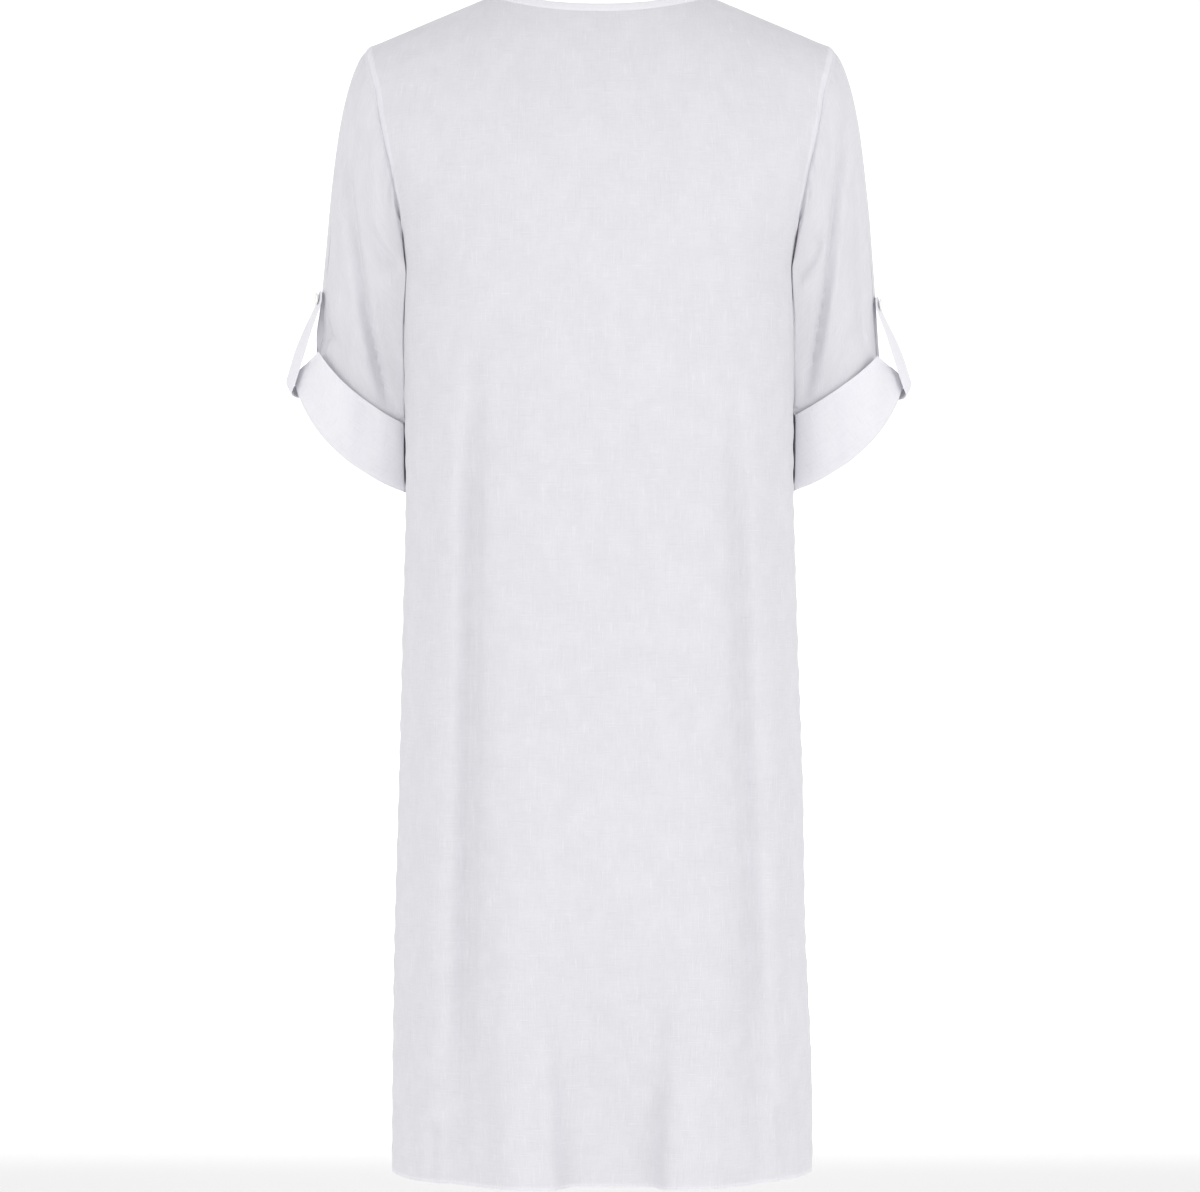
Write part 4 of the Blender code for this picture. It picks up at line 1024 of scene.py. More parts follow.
def make_neck_band(back, front):
    """The doubled band that finishes the neck, rising from the panels' edges."""
    loops = []
    for field in ("outer", "inner"):
        halves = []
        for panel, step in ((back, -1), (front, 1)):
            columns = np.flatnonzero(np.abs(panel.places) <= NECK_COLUMN + 1e-6)[::step]
            halves.append(getattr(panel, field)[-1, columns])
        loop = doubled_ends(*halves)
        loops.append(even_loop(loop, BAND_COLUMNS, len(halves[0]) - 1))
    edge, edge_inner = loops
    along = np.roll(edge, -1, axis=0) - np.roll(edge, 1, axis=0)
    looks = unit(np.cross(along, edge_inner - edge))
    if looks[:, 2].sum() < 0:
        looks = -looks
    rise = unit(looks + np.array([0.0, 0.0, BAND_LEAN]))
    rings = []
    for share in BAND_SHARES:
        way = unit(looks * (1.0 - share) + rise * share)
        rings.append(edge + SEAM_GAP * looks + share * BAND_HEIGHT * way)
    grid = np.array(rings)
    away = grid - np.array([0.0, 0.0, UNDERARM_Z])
    normals = grid_normals(grid, away, wrap=True)
    bulge = BAND_BULGE * np.sqrt(np.maximum(np.sin(math.pi * np.array(BAND_SHARES)), 0.0))
    outer = grid + bulge[:, None, None] * normals
    inner = outer - DOUBLE_CLOTH * normals
    inner[0] = edge_inner + SEAM_GAP * looks
    outer[-1] -= BAND_EDGE_PINCH * DOUBLE_CLOTH * normals[-1]
    inner[-1] += BAND_EDGE_PINCH * DOUBLE_CLOTH * normals[-1]
    flat = tube_flat(outer, run_lengths(outer, 0))
    return Cloth(outer, inner, flat, np.ones(outer.shape[:2])), normals


def add_mesh(name, vertices, faces):
    """An object from points and faces."""
    mesh = bpy.data.meshes.new(name)
    mesh.from_pydata(vertices, [], faces)
    placed = bpy.data.objects.new(name, mesh)
    bpy.context.collection.objects.link(placed)
    return placed


def turn_outwards(placed, sharp=50.0):
    """Turns all faces outwards and shades them smooth, apart from edges sharper than an angle."""
    work = bmesh.new()
    work.from_mesh(placed.data)
    bmesh.ops.recalc_face_normals(work, faces=work.faces)
    work.to_mesh(placed.data)
    work.free()
    placed.data.shade_smooth()
    placed.data.set_sharp_from_angle(angle=math.radians(sharp))


def add_shell(name, cloth, wrap, material):
    """A closed thin shell between two grids, with its flat cloth places and its layers."""
    rows, columns = cloth.outer.shape[:2]
    spans = columns if wrap else columns - 1
    row, column = np.meshgrid(np.arange(rows - 1), np.arange(spans), indexing="ij")
    quads = [(row, column), (row, column + 1), (row + 1, column + 1), (row + 1, column)]
    corner_rows = np.stack([quad[0] for quad in quads], axis=-1).reshape(-1, 4)
    corner_columns = np.stack([quad[1] for quad in quads], axis=-1).reshape(-1, 4)
    layer = np.zeros_like(corner_rows)
    parts = [(corner_rows, corner_columns, layer)]
    parts.append((corner_rows[:, ::-1], corner_columns[:, ::-1], layer + 1))
    run = np.arange(spans)
    for edge_row in (0, rows - 1):
        rim_columns = np.stack([run, run, run + 1, run + 1], axis=-1)
        rim_layers = np.tile([0, 1, 1, 0], (spans, 1))
        parts.append((np.full_like(rim_columns, edge_row), rim_columns, rim_layers))
    if not wrap:
        run = np.arange(rows - 1)
        for edge_column in (0, columns - 1):
            rim_rows = np.stack([run, run + 1, run + 1, run], axis=-1)
            rim_layers = np.tile([0, 0, 1, 1], (rows - 1, 1))
            parts.append((rim_rows, np.full_like(rim_rows, edge_column), rim_layers))
    face_rows, face_columns, face_layers = (np.concatenate(part) for part in zip(*parts))
    indices = face_layers * rows * columns + face_rows * columns + face_columns % columns
    vertices = np.concatenate([cloth.outer.reshape(-1, 3), cloth.inner.reshape(-1, 3)])
    placed = add_mesh(name, vertices.tolist(), indices.tolist())
    mesh = placed.data
    flat = cloth.flat[face_rows, face_columns].reshape(-1, 2)
    mesh.uv_layers.new(name="cloth").data.foreach_set("uv", flat.ravel())
    layers = mesh.attributes.new("layers", "FLOAT", "POINT")
    layers.data.foreach_set("value", np.tile(cloth.layers.ravel(), 2))
    turn_outwards(placed)
    mesh.materials.append(material)
    return placed


def smooth_path(points, count):
    """A smooth curve through points, resampled to evenly spaced ones."""
    points = np.asarray(points, dtype=float)
    ends = np.vstack([2 * points[0] - points[1], points, 2 * points[-1] - points[-2]])
    fine = []
    for index in range(1, len(ends) - 2):
        before, one, two, after = ends[index - 1: index + 3]
        for t in np.linspace(0.0, 1.0, 16, endpoint=False):
            fine.append(0.5 * (
                2 * one + (two - before) * t + (2 * before - 5 * one + 4 * two - after) * t * t
                + (3 * one - before - 3 * two + after) * t ** 3
            ))
    fine.append(points[-1])
    return even_path(np.array(fine), count)


def even_path(path, count):
    """A path resampled to evenly spaced points."""
    travelled = path_lengths(path)
    wanted = np.linspace(0.0, travelled[-1], count)
    return np.stack([np.interp(wanted, travelled, path[:, k]) for k in range(3)], axis=1)


def sleeve_point(grid, angles, angle, z):
    """A point on a sleeve's outer face and the direction it faces, by angle and height."""
    column = int(np.argmin(np.abs(angles - angle)))
    line = grid[:, column]
    row = int(np.argmax(line[:, 2] < z))
    share = (line[row - 1, 2] - z) / (line[row - 1, 2] - line[row, 2])
    point = line[row - 1] + share * (line[row] - line[row - 1])
    across = grid[row, column + 1] - grid[row, column - 1]
    facing = unit(np.cross(across, line[row] - line[row - 1]))
    if facing[0] * point[0] < 0:
        facing = -facing
    return point, facing


Strip = namedtuple("Strip", "path across through seat seat_facing")


def at_angle(values, angles, angle):
    """Values round a ring at an angle between those of its points."""
    angle %= 2 * math.pi
    turn = 2 * math.pi
    return np.array([np.interp(angle, angles, values[:, axis], period=turn) for axis in range(3)])


Seat = namedtuple("Seat", "corner across rise face")


def tab_seat(cuff, angles, above):
    """Where the tab goes round the cuff's lower edge: a place that touches it, and directions."""
    near = at_angle(cuff.low, angles, TAB_SEAT_ANGLE - TAB_SEAT_SPREAD)
    far = at_angle(cuff.low, angles, TAB_SEAT_ANGLE + TAB_SEAT_SPREAD)
    across = unit(far - near)
    middle = 0.5 * (near + far)
    rise = unit(above - middle - np.dot(above - middle, across) * across)
    face = np.cross(across, rise)
    if face[0] * middle[0] < 0:
        face = -face
    turned = (angles - TAB_SEAT_ANGLE + math.pi) % (2 * math.pi) - math.pi
    under = np.abs(turned) < TAB_SEAT_SPREAD
    bulge = max(np.dot(cuff.low[under] - middle, face).max(), 0.0)
    return Seat(middle + bulge * face, across, rise, face)


def tab_strip(name, grid, angles, cuff):
    """The tab's middle line from the button to where it is sewn inside, and its directions."""
    stand = TAB_STAND + 0.5 * TAB_CLOTH
    top_z = TAB_TOP_Z[name]
    top, top_facing = sleeve_point(grid, angles, TAB_TOP_ANGLE, top_z)
    lay, lay_facing = sleeve_point(grid, angles, TAB_TOP_ANGLE, top_z - TAB_LAY_LENGTH)
    corner, low_across, rise, face = tab_seat(cuff, angles, lay)
    lip = CUFF_CLOTH + FOLD_GAP + TAB_LIP
    top_face = unit(top_facing + lay_facing)
    seated = stand + TAB_SEAT_LIFT
    free_start = lay + (stand + TAB_FREE_LIFT) * top_face
    free_end = corner + TAB_CUFF_REACH * rise + (stand + TAB_FREE_LIFT) * face
    knots = [
        top + seated * top_face,
        top + TAB_SEATED_SHARE * (lay - top) + seated * top_face,
        free_start,
        free_start + (free_end - free_start) / 3 + TAB_BOW * face,
        free_start + 2 * (free_end - free_start) / 3 + TAB_BOW * face,
        free_end,
        corner + 0.5 * CUFF_CLOTH * rise + (seated + TAB_FOLD_LIFT) * face,
        corner - (seated + TAB_FOLD_LIFT) * rise,
        corner - (seated + TAB_FOLD_LIFT) * rise - (lip + TAB_FOLD_ROOM) * face,
        corner + CUFF_CLOTH * rise - TAB_INNER_DEPTH * face,
        corner + TAB_INNER_LENGTH * rise - (TAB_INNER_DEPTH + TAB_INNER_LEAN) * face,
    ]
    seat = knots[0] + BUTTON_SHARE * (knots[2] - knots[0])
    path = smooth_path(knots, TAB_STEPS)
    top_across = unit(np.cross(top_face, lay - top))
    if top_across[1] < 0:
        top_across = -top_across
    ahead = unit(np.gradient(path, axis=0))
    travelled = path_lengths(path)
    lay_end = np.linalg.norm(knots[2] - knots[0])
    twist = ease((travelled - lay_end) / TAB_TWIST_LENGTH)[:, None]
    across = unit(top_across * (1.0 - twist) + low_across * twist)
    across = unit(across - np.sum(across * ahead, axis=1, keepdims=True) * ahead)
    through = np.cross(ahead, across)
    if np.dot(through[0], top_face) < 0:
        through = -through
    return Strip(path, across, through, seat, top_face)


def make_tab(strip):
    """The tab's doubled cloth as two grids, with a blunt point at the button's end."""
    travelled = path_lengths(strip.path)
    places = np.sin(0.5 * math.pi * np.linspace(-1.0, 1.0, TAB_COLUMNS))
    widening = np.clip(travelled / TAB_POINT_LENGTH, 0.0, 1.0) ** 0.5
    half = 0.5 * TAB_WIDTH * (TAB_POINT_WIDTH + (1.0 - TAB_POINT_WIDTH) * widening)
    aside = (half[:, None] * places)[..., None] * strip.across[:, None, :]
    middle = strip.path[:, None, :] + aside
    thin = TAB_EDGE_CLOTH + (1.0 - TAB_EDGE_CLOTH) * (1.0 - places ** 4) ** 0.5
    ends = ease(travelled / TAB_END_ROUNDING + TAB_EDGE_CLOTH)
    ends = ends * ease((travelled[-1] - travelled) / TAB_END_ROUNDING + TAB_EDGE_CLOTH)
    thick = 0.5 * TAB_SHOWN_CLOTH * thin[None, :] * ends[:, None]
    outer = middle + thick[..., None] * strip.through[:, None, :]
    inner = middle - thick[..., None] * strip.through[:, None, :]
    flat = np.stack(np.broadcast_arrays(half[:, None] * places, travelled[:, None]), axis=-1)
    return Cloth(outer, inner, flat, np.ones(outer.shape[:2]))


def stitch_faces(first):
    """The faces of one stitch, whose rings' points start at an index."""
    faces = []
    for ring in range(len(STITCH_RINGS) - 1):
        base = first + ring * STITCH_SIDES
        for side in range(STITCH_SIDES):
            after = (side + 1) % STITCH_SIDES
            above = base + STITCH_SIDES
            faces.append((base + side, base + after, above + after, above + side))
    for base in (first, first + (len(STITCH_RINGS) - 1) * STITCH_SIDES):
        faces.append(tuple(base + side for side in range(STITCH_SIDES)))
    return faces


def add_stitches(name, runs, material, sewing=SEAM_SEWING):
    """Small thread stitches along lines that lie on the cloth. A run is points and normals."""
    turns = np.linspace(0.0, 2 * math.pi, STITCH_SIDES, endpoint=False)
    vertices = []
    faces = []
    for points, normals in runs:
        steps = path_lengths(points)
        count = max(int(steps[-1] / sewing.pitch), 2)
        spots = even_path(points, 2 * count + 1)
        wanted = np.linspace(0.0, steps[-1], 2 * count + 1)
        ups = np.stack([np.interp(wanted, steps, normals[:, k]) for k in range(3)], axis=1)
        for index in range(1, 2 * count, 2):
            ahead = unit(spots[index + 1] - spots[index - 1])
            up = unit(ups[index] - np.dot(ups[index], ahead) * ahead)
            beside = np.cross(ahead, up)
            spokes = np.cos(turns)[:, None] * beside + np.sin(turns)[:, None] * up
            faces += stitch_faces(len(vertices))
            for ring in STITCH_RINGS:
                centre = spots[index] + ring.along * sewing.length * ahead
                centre = centre + ring.lift * sewing.radius * up
                vertices += (centre + ring.size * sewing.radius * spokes).tolist()
    placed = add_mesh(name, vertices, faces)
    turn_outwards(placed, 80.0)
    placed.data.materials.append(material)
    return placed


def line_at(grid, lengths, distance):
    """Points of a grid at a given length down each of its columns."""
    line = []
    for column in range(grid.shape[1]):
        line.append([
            np.interp(distance, lengths[:, column], grid[:, column, k]) for k in range(3)
        ])
    return np.array(line)


def new_material(name, roughness):
    """A material with one main shader, its nodes and that shader."""
    material = bpy.data.materials.new(name)
    material.use_nodes = True
    shader = material.node_tree.nodes["Principled BSDF"]
    shader.inputs["Roughness"].default_value = roughness
    return material, material.node_tree, shader


def math_node(tree, operation, first, second=None, third=None):
    """One calculation with numbers or other nodes' outputs."""
    node = tree.nodes.new("ShaderNodeMath")
    node.operation = operation
    for socket, value in zip(node.inputs, (first, second, third)):
        if value is None:
            continue
        if isinstance(value, (int, float)):
            socket.default_value = value
        else:
            tree.links.new(value, socket)
    return node.outputs[0]


def range_node(tree, value, low, high, to_low=0.0, to_high=1.0):
    """A smooth step between two values."""
    node = tree.nodes.new("ShaderNodeMapRange")
    node.interpolation_type = "SMOOTHSTEP"
    tree.links.new(value, node.inputs["Value"])
    node.inputs["From Min"].default_value = low
    node.inputs["From Max"].default_value = high
    node.inputs["To Min"].default_value = to_low
    node.inputs["To Max"].default_value = to_high
    return node.outputs["Result"]


def colour_mix(tree, share, first, second):
    """A colour between two others, each a colour value or another node's output."""
    node = tree.nodes.new("ShaderNodeMix")
    node.data_type = "RGBA"
    sockets = (node.inputs[0], node.inputs[6], node.inputs[7])
    for socket, value in zip(sockets, (share, first, second)):
        if isinstance(value, (tuple, float)):
            socket.default_value = (*value, 1.0) if isinstance(value, tuple) else value
        else:
            tree.links.new(value, socket)
    return node.outputs[2]


def add_bump(tree, shader, height, relief):
    """Fine relief on a shader's surface."""
    bump = tree.nodes.new("ShaderNodeBump")
    bump.inputs["Strength"].default_value = relief.strength
    bump.inputs["Distance"].default_value = relief.distance
    tree.links.new(height, bump.inputs["Height"])
    tree.links.new(bump.outputs[0], shader.inputs["Normal"])
    return bump.outputs[0]


def mix_shaders(tree, share, first, second):
    """Shows a mix of two shaders' outputs on the surface."""
    blend = tree.nodes.new("ShaderNodeMixShader")
    if isinstance(share, float):
        blend.inputs[0].default_value = share
    else:
        tree.links.new(share, blend.inputs[0])
    tree.links.new(first, blend.inputs[1])
    tree.links.new(second, blend.inputs[2])
    tree.links.new(blend.outputs[0], tree.nodes["Material Output"].inputs["Surface"])


def stretched_noise(tree, u, v, pattern):
    """Noise with its own scale along each thread direction."""
    place = tree.nodes.new("ShaderNodeCombineXYZ")
    tree.links.new(math_node(tree, "MULTIPLY", u, pattern.across), place.inputs[0])
    tree.links.new(math_node(tree, "MULTIPLY", v, pattern.along), place.inputs[1])
    place.inputs[2].default_value = pattern.shift
    noise = tree.nodes.new("ShaderNodeTexNoise")
    noise.inputs["Scale"].default_value = 1.0
    noise.inputs["Detail"].default_value = pattern.detail
    tree.links.new(place.outputs[0], noise.inputs["Vector"])
    return noise.outputs["Fac"]


def linen_material(name, single, double, through):
    """Slubby plain weave: uneven threads both ways, whiter where it lies double."""
    material, tree, shader = new_material(name, 0.9)
    cloth = tree.nodes.new("ShaderNodeUVMap")
    cloth.uv_map = "cloth"
    parts = tree.nodes.new("ShaderNodeSeparateXYZ")
    tree.links.new(cloth.outputs[0], parts.inputs[0])
    u, v = parts.outputs[0], parts.outputs[1]
    noises = (WARP_SLUBS, WEFT_SLUBS, WARP_YARN, WEFT_YARN, MOTTLE)
    warp, weft, fine_warp, fine_weft, mottle = (stretched_noise(tree, u, v, one) for one in noises)
    thick = (range_node(tree, warp, *WARP_THICK), range_node(tree, weft, *WEFT_THICK))
    slub = math_node(tree, "MAXIMUM", *thick)
    thin = math_node(tree, "MAXIMUM", *(range_node(tree, one, *YARN_THIN) for one in (warp, weft)))
    yarn = math_node(tree, "MULTIPLY", math_node(tree, "ADD", fine_warp, fine_weft), 0.5)
    layers = tree.nodes.new("ShaderNodeAttribute")
    layers.attribute_name = "layers"
    colour = colour_mix(tree, layers.outputs["Fac"], single, double)
    light = tuple(min(SLUB_LIGHT * value, 1.0) for value in double)
    dark = tuple(THIN_DARK * value for value in single)
    for share, tint in (
        (math_node(tree, "MULTIPLY", slub, SLUB_SHARE), light),
        (math_node(tree, "MULTIPLY", thin, THIN_SHARE), dark),
        (range_node(tree, mottle, *MOTTLE_SPAN, 0.0, MOTTLE_SHARE), light),
        (range_node(tree, yarn, *YARN_DARK, 0.0, YARN_SHARE), dark),
    ):
        colour = colour_mix(tree, share, colour, tint)
    tree.links.new(colour, shader.inputs["Base Color"])
    roughness = range_node(tree, yarn, *YARN_SPAN, *LINEN_ROUGHNESS)
    tree.links.new(roughness, shader.inputs["Roughness"])
    shader.inputs["Sheen Weight"].default_value = LINEN_SHEEN
    shader.inputs["Sheen Roughness"].default_value = LINEN_SHEEN_ROUGHNESS
    shader.inputs["Specular IOR Level"].default_value = LINEN_SPECULAR
    rows, columns = (
        math_node(tree, "SINE", math_node(tree, "MULTIPLY", way, math.pi / WEAVE_PITCH))
        for way in (v, u)
    )
    weave = math_node(tree, "MULTIPLY", rows, columns)
    height = math_node(tree, "MULTIPLY", yarn, YARN_HEIGHT)
    height = math_node(tree, "MULTIPLY_ADD", weave, WEAVE_HEIGHT, height)
    height = math_node(tree, "ADD", height, math_node(tree, "MULTIPLY", slub, SLUB_HEIGHT))
    relief = add_bump(tree, shader, height, LINEN_RELIEF)
    glow = tree.nodes.new("ShaderNodeBsdfTranslucent")
    tree.links.new(colour, glow.inputs["Color"])
    tree.links.new(relief, glow.inputs["Normal"])
    mix_shaders(tree, through, shader.outputs[0], glow.outputs[0])
    return material


def thread_material():
    """Matt twisted sewing thread."""
    material, tree, shader = new_material("sewing_thread", 0.7)
    place = tree.nodes.new("ShaderNodeTexCoord")
    wave = tree.nodes.new("ShaderNodeTexWave")
    wave.inputs["Scale"].default_value = THREAD_WAVES
    wave.bands_direction = "DIAGONAL"
    tree.links.new(place.outputs["Object"], wave.inputs["Vector"])
    twist = wave.outputs["Fac"]
    tree.links.new(colour_mix(tree, twist, THREAD_DARK, THREAD_LIGHT), shader.inputs["Base Color"])
    roughness = range_node(tree, twist, 0.0, 1.0, *THREAD_ROUGHNESS)
    tree.links.new(roughness, shader.inputs["Roughness"])
    add_bump(tree, shader, twist, THREAD_RELIEF)
    return material


def button_material():
    """Pale pearl-like plastic with faint clouds and a soft gloss."""
    material, tree, shader = new_material("pearl_button", 0.3)
    place = tree.nodes.new("ShaderNodeTexCoord")
    noise = tree.nodes.new("ShaderNodeTexNoise")
    noise.inputs["Scale"].default_value = PEARL_WAVES
    noise.inputs["Detail"].default_value = PEARL_DETAIL
    noise.inputs["Distortion"].default_value = PEARL_DISTORTION
    tree.links.new(place.outputs["Object"], noise.inputs["Vector"])
    cloud = range_node(tree, noise.outputs["Fac"], *PEARL_CLOUDS)
    tree.links.new(colour_mix(tree, cloud, PEARL_DARK, PEARL_LIGHT), shader.inputs["Base Color"])
    roughness = range_node(tree, noise.outputs["Fac"], *PEARL_NOISE, *PEARL_ROUGHNESS)
    tree.links.new(roughness, shader.inputs["Roughness"])
    shader.inputs["Coat Weight"].default_value = PEARL_COAT
    shader.inputs["Coat Roughness"].default_value = PEARL_COAT_ROUGHNESS
    add_bump(tree, shader, noise.outputs["Fac"], PEARL_RELIEF)
    return material


def button_axes(facing):
    """Sideways and upwards directions on a button's face."""
    side = unit(np.cross(facing, (0.0, 0.0, 1.0)))
    return side, np.cross(side, facing)


def make_button(name, seat, facing, material):
    """A four-hole button with a raised rim and a dished face."""
    side, rise = button_axes(facing)
    base = seat + (0.5 * TAB_CLOTH + BUTTON_STAND) * facing
    count = BUTTON_SEGMENTS
    vertices = []
    for radius, height in BUTTON_PROFILE:
        centre = base + height * BUTTON_THICKNESS * facing
        if radius == 0.0:
            vertices.append(tuple(centre))
            continue
        for index in range(count):
            angle = 2 * math.pi * index / count
            spoke = math.cos(angle) * side + math.sin(angle) * rise
            vertices.append(tuple(centre + radius * BUTTON_RADIUS * spoke))
    faces = []
    last = 1 + (len(BUTTON_PROFILE) - 3) * count
    for index in range(count):
        after = (index + 1) % count
        faces.append((0, 1 + after, 1 + index))
        for low in range(1, last, count):
            high = low + count
            faces.append((low + index, low + after, high + after, high + index))
        faces.append((last + index, last + after, len(vertices) - 1))
    button = add_mesh(name, vertices, faces)
    turn_outwards(button, BUTTON_SHARP)
    button.data.materials.append(material)
    for x_sign, y_sign in ((1, 1), (1, -1), (-1, 1), (-1, -1)):
        centre = base + BUTTON_HOLE_PLACE * (x_sign * side + y_sign * rise)
        cut_hole(button, centre, facing, side, rise)
    turn_outwards(button, BUTTON_SHARP)
    return button


def cut_hole(button, centre, facing, side, rise):
    """Cuts one thread hole through a button."""
    count = BUTTON_HOLE_SEGMENTS
    turns = np.linspace(0.0, 2 * math.pi, count, endpoint=False)
    spokes = np.cos(turns)[:, None] * side + np.sin(turns)[:, None] * rise
    spokes = BUTTON_HOLE_RADIUS * spokes
    below = centre - BUTTON_HOLE_MARGIN * facing
    above = centre + (BUTTON_THICKNESS + BUTTON_HOLE_MARGIN) * facing
    vertices = np.concatenate([below + spokes, above + spokes])
    faces = [tuple(range(count)), tuple(range(2 * count - 1, count - 1, -1))]
    for low in range(count):
        after = (low + 1) % count
        faces.append((low, after, count + after, count + low))
    cutter = add_mesh("hole_cutter", vertices.tolist(), faces)
    turn_outwards(cutter)
    cut = button.modifiers.new("hole", "BOOLEAN")
    cut.object = cutter
    graph = bpy.context.evaluated_depsgraph_get()
    mesh = bpy.data.meshes.new_from_object(button.evaluated_get(graph))
    button.modifiers.remove(cut)
    button.data = mesh
    bpy.data.objects.remove(cutter, do_unlink=True)


def button_thread(strip):
    """Two lines of thread, each of three strands, through the button's holes."""
    facing = strip.seat_facing
    side, rise = button_axes(facing)
    lift = 0.5 * TAB_CLOTH + BUTTON_STAND + BUTTON_DISH * BUTTON_THICKNESS
    base = strip.seat + lift * facing
    runs = []
    for sign in (1, -1):
        for aside in (-BUTTON_STRAND_GAP, 0.0, BUTTON_STRAND_GAP):
            start = base + BUTTON_HOLE_PLACE * (sign * side - rise) + aside * side
            end = base + BUTTON_HOLE_PLACE * (sign * side + rise) + aside * side
            arc = []
            for share in np.linspace(0.0, 1.0, BUTTON_STRAND_STEPS):
                bow = BUTTON_STRAND_BOW * math.sin(math.pi * share)
                arc.append(start + share * (end - start) + bow * facing)
            runs.append((np.array(arc), np.tile(facing, (BUTTON_STRAND_STEPS, 1))))
    return runs


def ride_and_declare(piece, node):
    """Puts a piece on the body, and in the place of a node of the part."""
    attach(piece, "root")
    if node:
        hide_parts(node)


def build_stage():
    """A pale floor that rises softly into a white backdrop, which is clear from behind."""
    profile = [(-FLOOR_NEAR, 0.0), (SWEEP_START, 0.0)]
    for turn in np.linspace(0.0, 0.5 * math.pi, SWEEP_STEPS)[1:]:
        away = SWEEP_START + SWEEP_RADIUS * math.sin(turn)
        profile.append((away, SWEEP_RADIUS - SWEEP_RADIUS * math.cos(turn)))
    profile.append((SWEEP_START + SWEEP_RADIUS, BACKDROP_HEIGHT))
    vertices = []
    faces = []
    for index, (away, height) in enumerate(profile):
        for x in (-BACKDROP_HALF_WIDTH, BACKDROP_HALF_WIDTH):
            vertices.append((x, -away, FLOOR_Z + height))
        if index:
            first = 2 * index - 2
            faces.append((first + 2, first + 3, first + 1, first))
    sweep = add_mesh("backdrop", vertices, faces)
    sweep.data.shade_smooth()
    material, tree, shader = new_material("pale_backdrop", 0.95)
    shader.inputs["Base Color"].default_value = (BACKDROP_GREY, BACKDROP_GREY, BACKDROP_GREY, 1.0)
    place = tree.nodes.new("ShaderNodeTexCoord")
    parts = tree.nodes.new("ShaderNodeSeparateXYZ")
    tree.links.new(place.outputs["Object"], parts.inputs[0])
    glow = range_node(tree, parts.outputs[2], FLOOR_Z, FLOOR_Z + GLOW_RISE, *GLOW)
    shader.inputs["Emission Color"].default_value = (1.0, 1.0, 1.0, 1.0)
    tree.links.new(glow, shader.inputs["Emission Strength"])
    side = tree.nodes.new("ShaderNodeNewGeometry")
    clear = tree.nodes.new("ShaderNodeBsdfTransparent")
    mix_shaders(tree, side.outputs["Backfacing"], shader.outputs[0], clear.outputs[0])
    sweep.data.materials.append(material)


def build_lights():
    """Even studio light from behind the camera and from both sides."""
    world = bpy.data.worlds.new("studio")
    world.use_nodes = True
    background = world.node_tree.nodes["Background"]
    background.inputs["Color"].default_value = (1.0, 1.0, 1.0, 1.0)
    background.inputs["Strength"].default_value = WORLD_LIGHT
    bpy.context.scene.world = world
    for lamp in LAMPS:
        light = bpy.data.lights.new(lamp.name, "AREA")
        light.shape = "RECTANGLE"
        light.size, light.size_y = lamp.size
        light.energy = lamp.power
        placed = bpy.data.objects.new(lamp.name, light)
        bpy.context.collection.objects.link(placed)
        toward = unit(np.array(lamp.aim) - np.array(lamp.place))
        placed.location = lamp.place
        placed.rotation_euler = Vector(toward).to_track_quat("-Z", "Y").to_euler()
    bpy.context.scene.view_settings.view_transform = "Standard"


def build_camera():
    """The camera, at the photo's viewing angle."""
    camera = bpy.data.cameras.new("camera")
    camera.sensor_fit = "HORIZONTAL"
    camera.sensor_width = SENSOR_WIDTH
    camera.lens = SENSOR_WIDTH * CAMERA_DISTANCE / VIEW_WIDTH
    placed = bpy.data.objects.new("camera", camera)
    placed.location = (0.0, CAMERA_DISTANCE, CAMERA_Z)
    placed.rotation_euler = (math.radians(90.0), 0.0, math.radians(180.0))
    bpy.context.collection.objects.link(placed)
    bpy.context.scene.camera = placed


def add_sheet(node, cloth, wrap, material):
    """The cloth that a node of the part stands for."""
    piece = add_shell(f"{node}_cloth", cloth, wrap, material)
    ride_and_declare(piece, node)


def dress_neck(back, front, linen_double):
    """The cloth of the neck band and its line of stitches."""
    band, normals = make_neck_band(back, front)
    add_sheet("neck_band", band, True, linen_double)
    return looped(band.outer[BAND_STITCH_ROW]), looped(normals[BAND_STITCH_ROW])


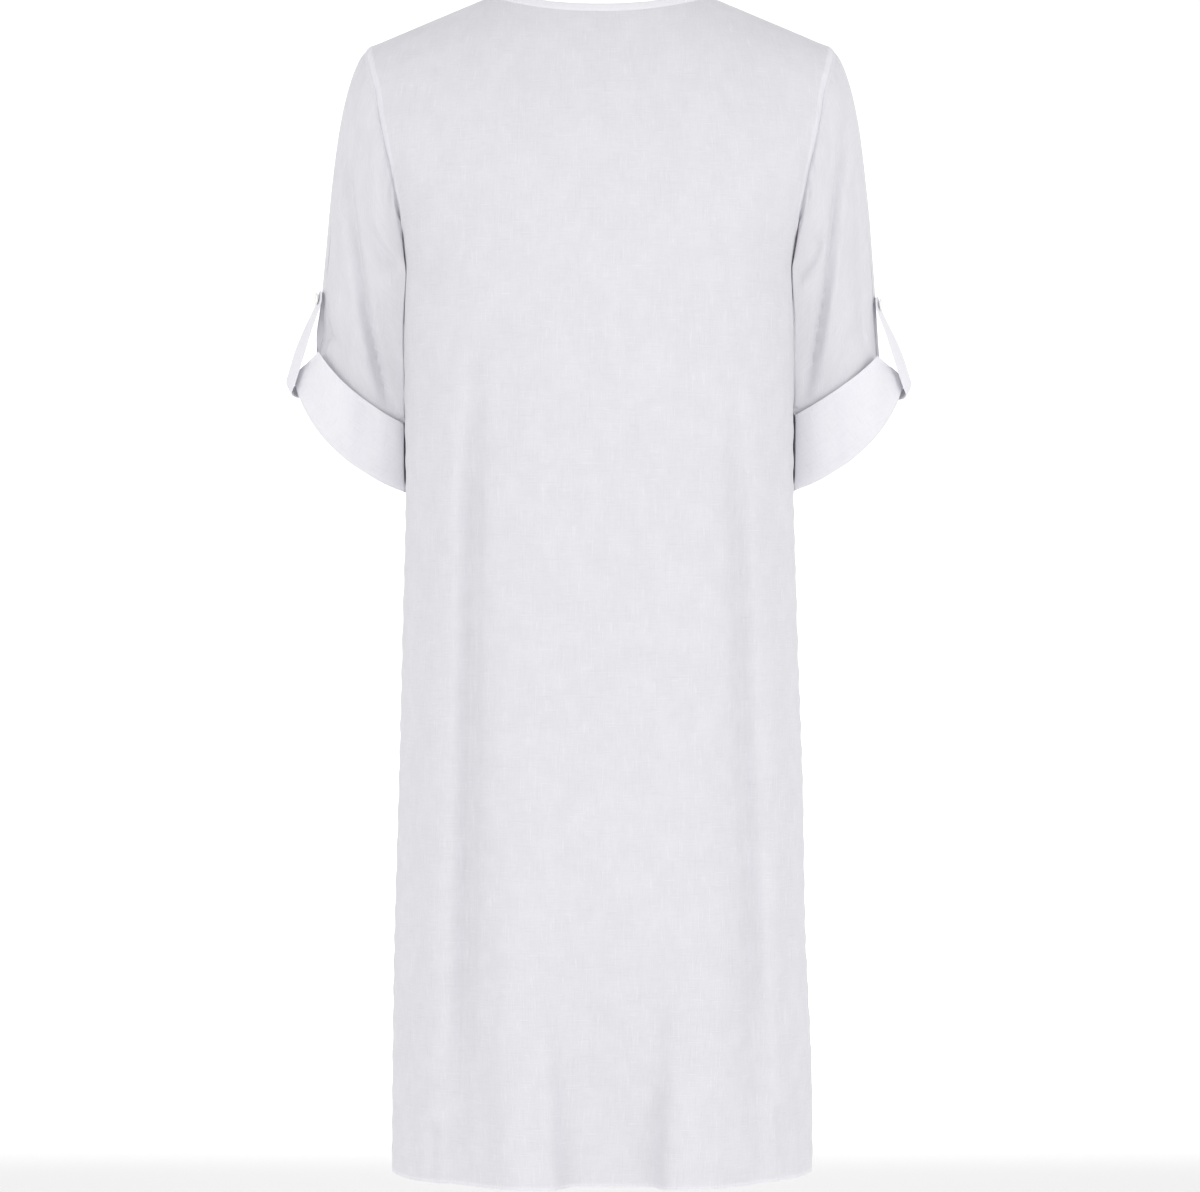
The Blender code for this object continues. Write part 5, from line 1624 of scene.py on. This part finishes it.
def tab_stitches(tab, strip):
    """The lines of stitches along a tab's two edges."""
    lift = TAB_STITCH_LIFT * 0.5 * TAB_SHOWN_CLOTH * strip.through[2:]
    runs = []
    for edge in (1, -2):
        line = strip.path[2:] + (tab.outer[2:, edge] - strip.path[2:]) * TAB_STITCHES + lift
        runs.append((line, strip.through[2:]))
    return runs


def dress_arm(name, hand, panels, materials):
    """The cloth of a sleeve, its cuff and its tab, and the button. Gives the lines of stitches."""
    linen, linen_double, thread, pearl = materials
    angles = np.linspace(0.0, 2 * math.pi, SLEEVE_COLUMNS, endpoint=False)
    cuff_lines = cuff_frame(name, angles, hand)
    sleeve = make_sleeve(name, hand, *panels, angles, cuff_lines)
    add_sheet(f"sleeve_{name}", sleeve, True, linen)
    cuff, cuff_normals = make_cuff(name, angles, cuff_lines)
    add_sheet(f"cuff_{name}", cuff, True, linen_double)
    rim = line_at(cuff.outer, run_lengths(cuff.outer, 0), RIM_STITCHES)
    strip = tab_strip(name, sleeve.outer, angles, cuff_lines)
    tab = make_tab(strip)
    add_sheet(f"tab_{name}", tab, False, linen_double)
    button = make_button(f"button_{name}_pearl", strip.seat, strip.seat_facing, pearl)
    ride_and_declare(button, f"button_{name}")
    strands = button_thread(strip)
    strands = add_stitches(f"button_{name}_thread", strands, thread, BUTTON_SEWING)
    ride_and_declare(strands, None)
    return [(looped(rim), looped(cuff_normals[1])), *tab_stitches(tab, strip)]


def build_dress():
    """All pieces of the dress, and the stitching that runs over them."""
    linen = linen_material("linen", LINEN_SINGLE, LINEN_DOUBLE, LINEN_THROUGH)
    linen_double = linen_material(
        "linen_double", DOUBLED_LINEN_SINGLE, DOUBLED_LINEN_DOUBLE, DOUBLED_LINEN_THROUGH
    )
    thread = thread_material()
    pearl = button_material()
    back = make_panel(1)
    front = make_panel(-1)
    add_sheet("back_panel", back, False, linen)
    add_sheet("front_panel", front, False, linen)
    runs = [dress_neck(back, front, linen_double)]
    for panel in (back, front):
        hem = line_at(panel.outer, panel.up, HEM_STITCHES)
        runs.append((hem, panel.normals[HEM_STITCH_ROW]))
    for name, hand in (("left", 1), ("right", -1)):
        runs += dress_arm(name, hand, (back, front), (linen, linen_double, thread, pearl))
    stitches = add_stitches("stitching", runs, thread)
    ride_and_declare(stitches, None)


build_dress()
build_stage()
build_lights()
build_camera()
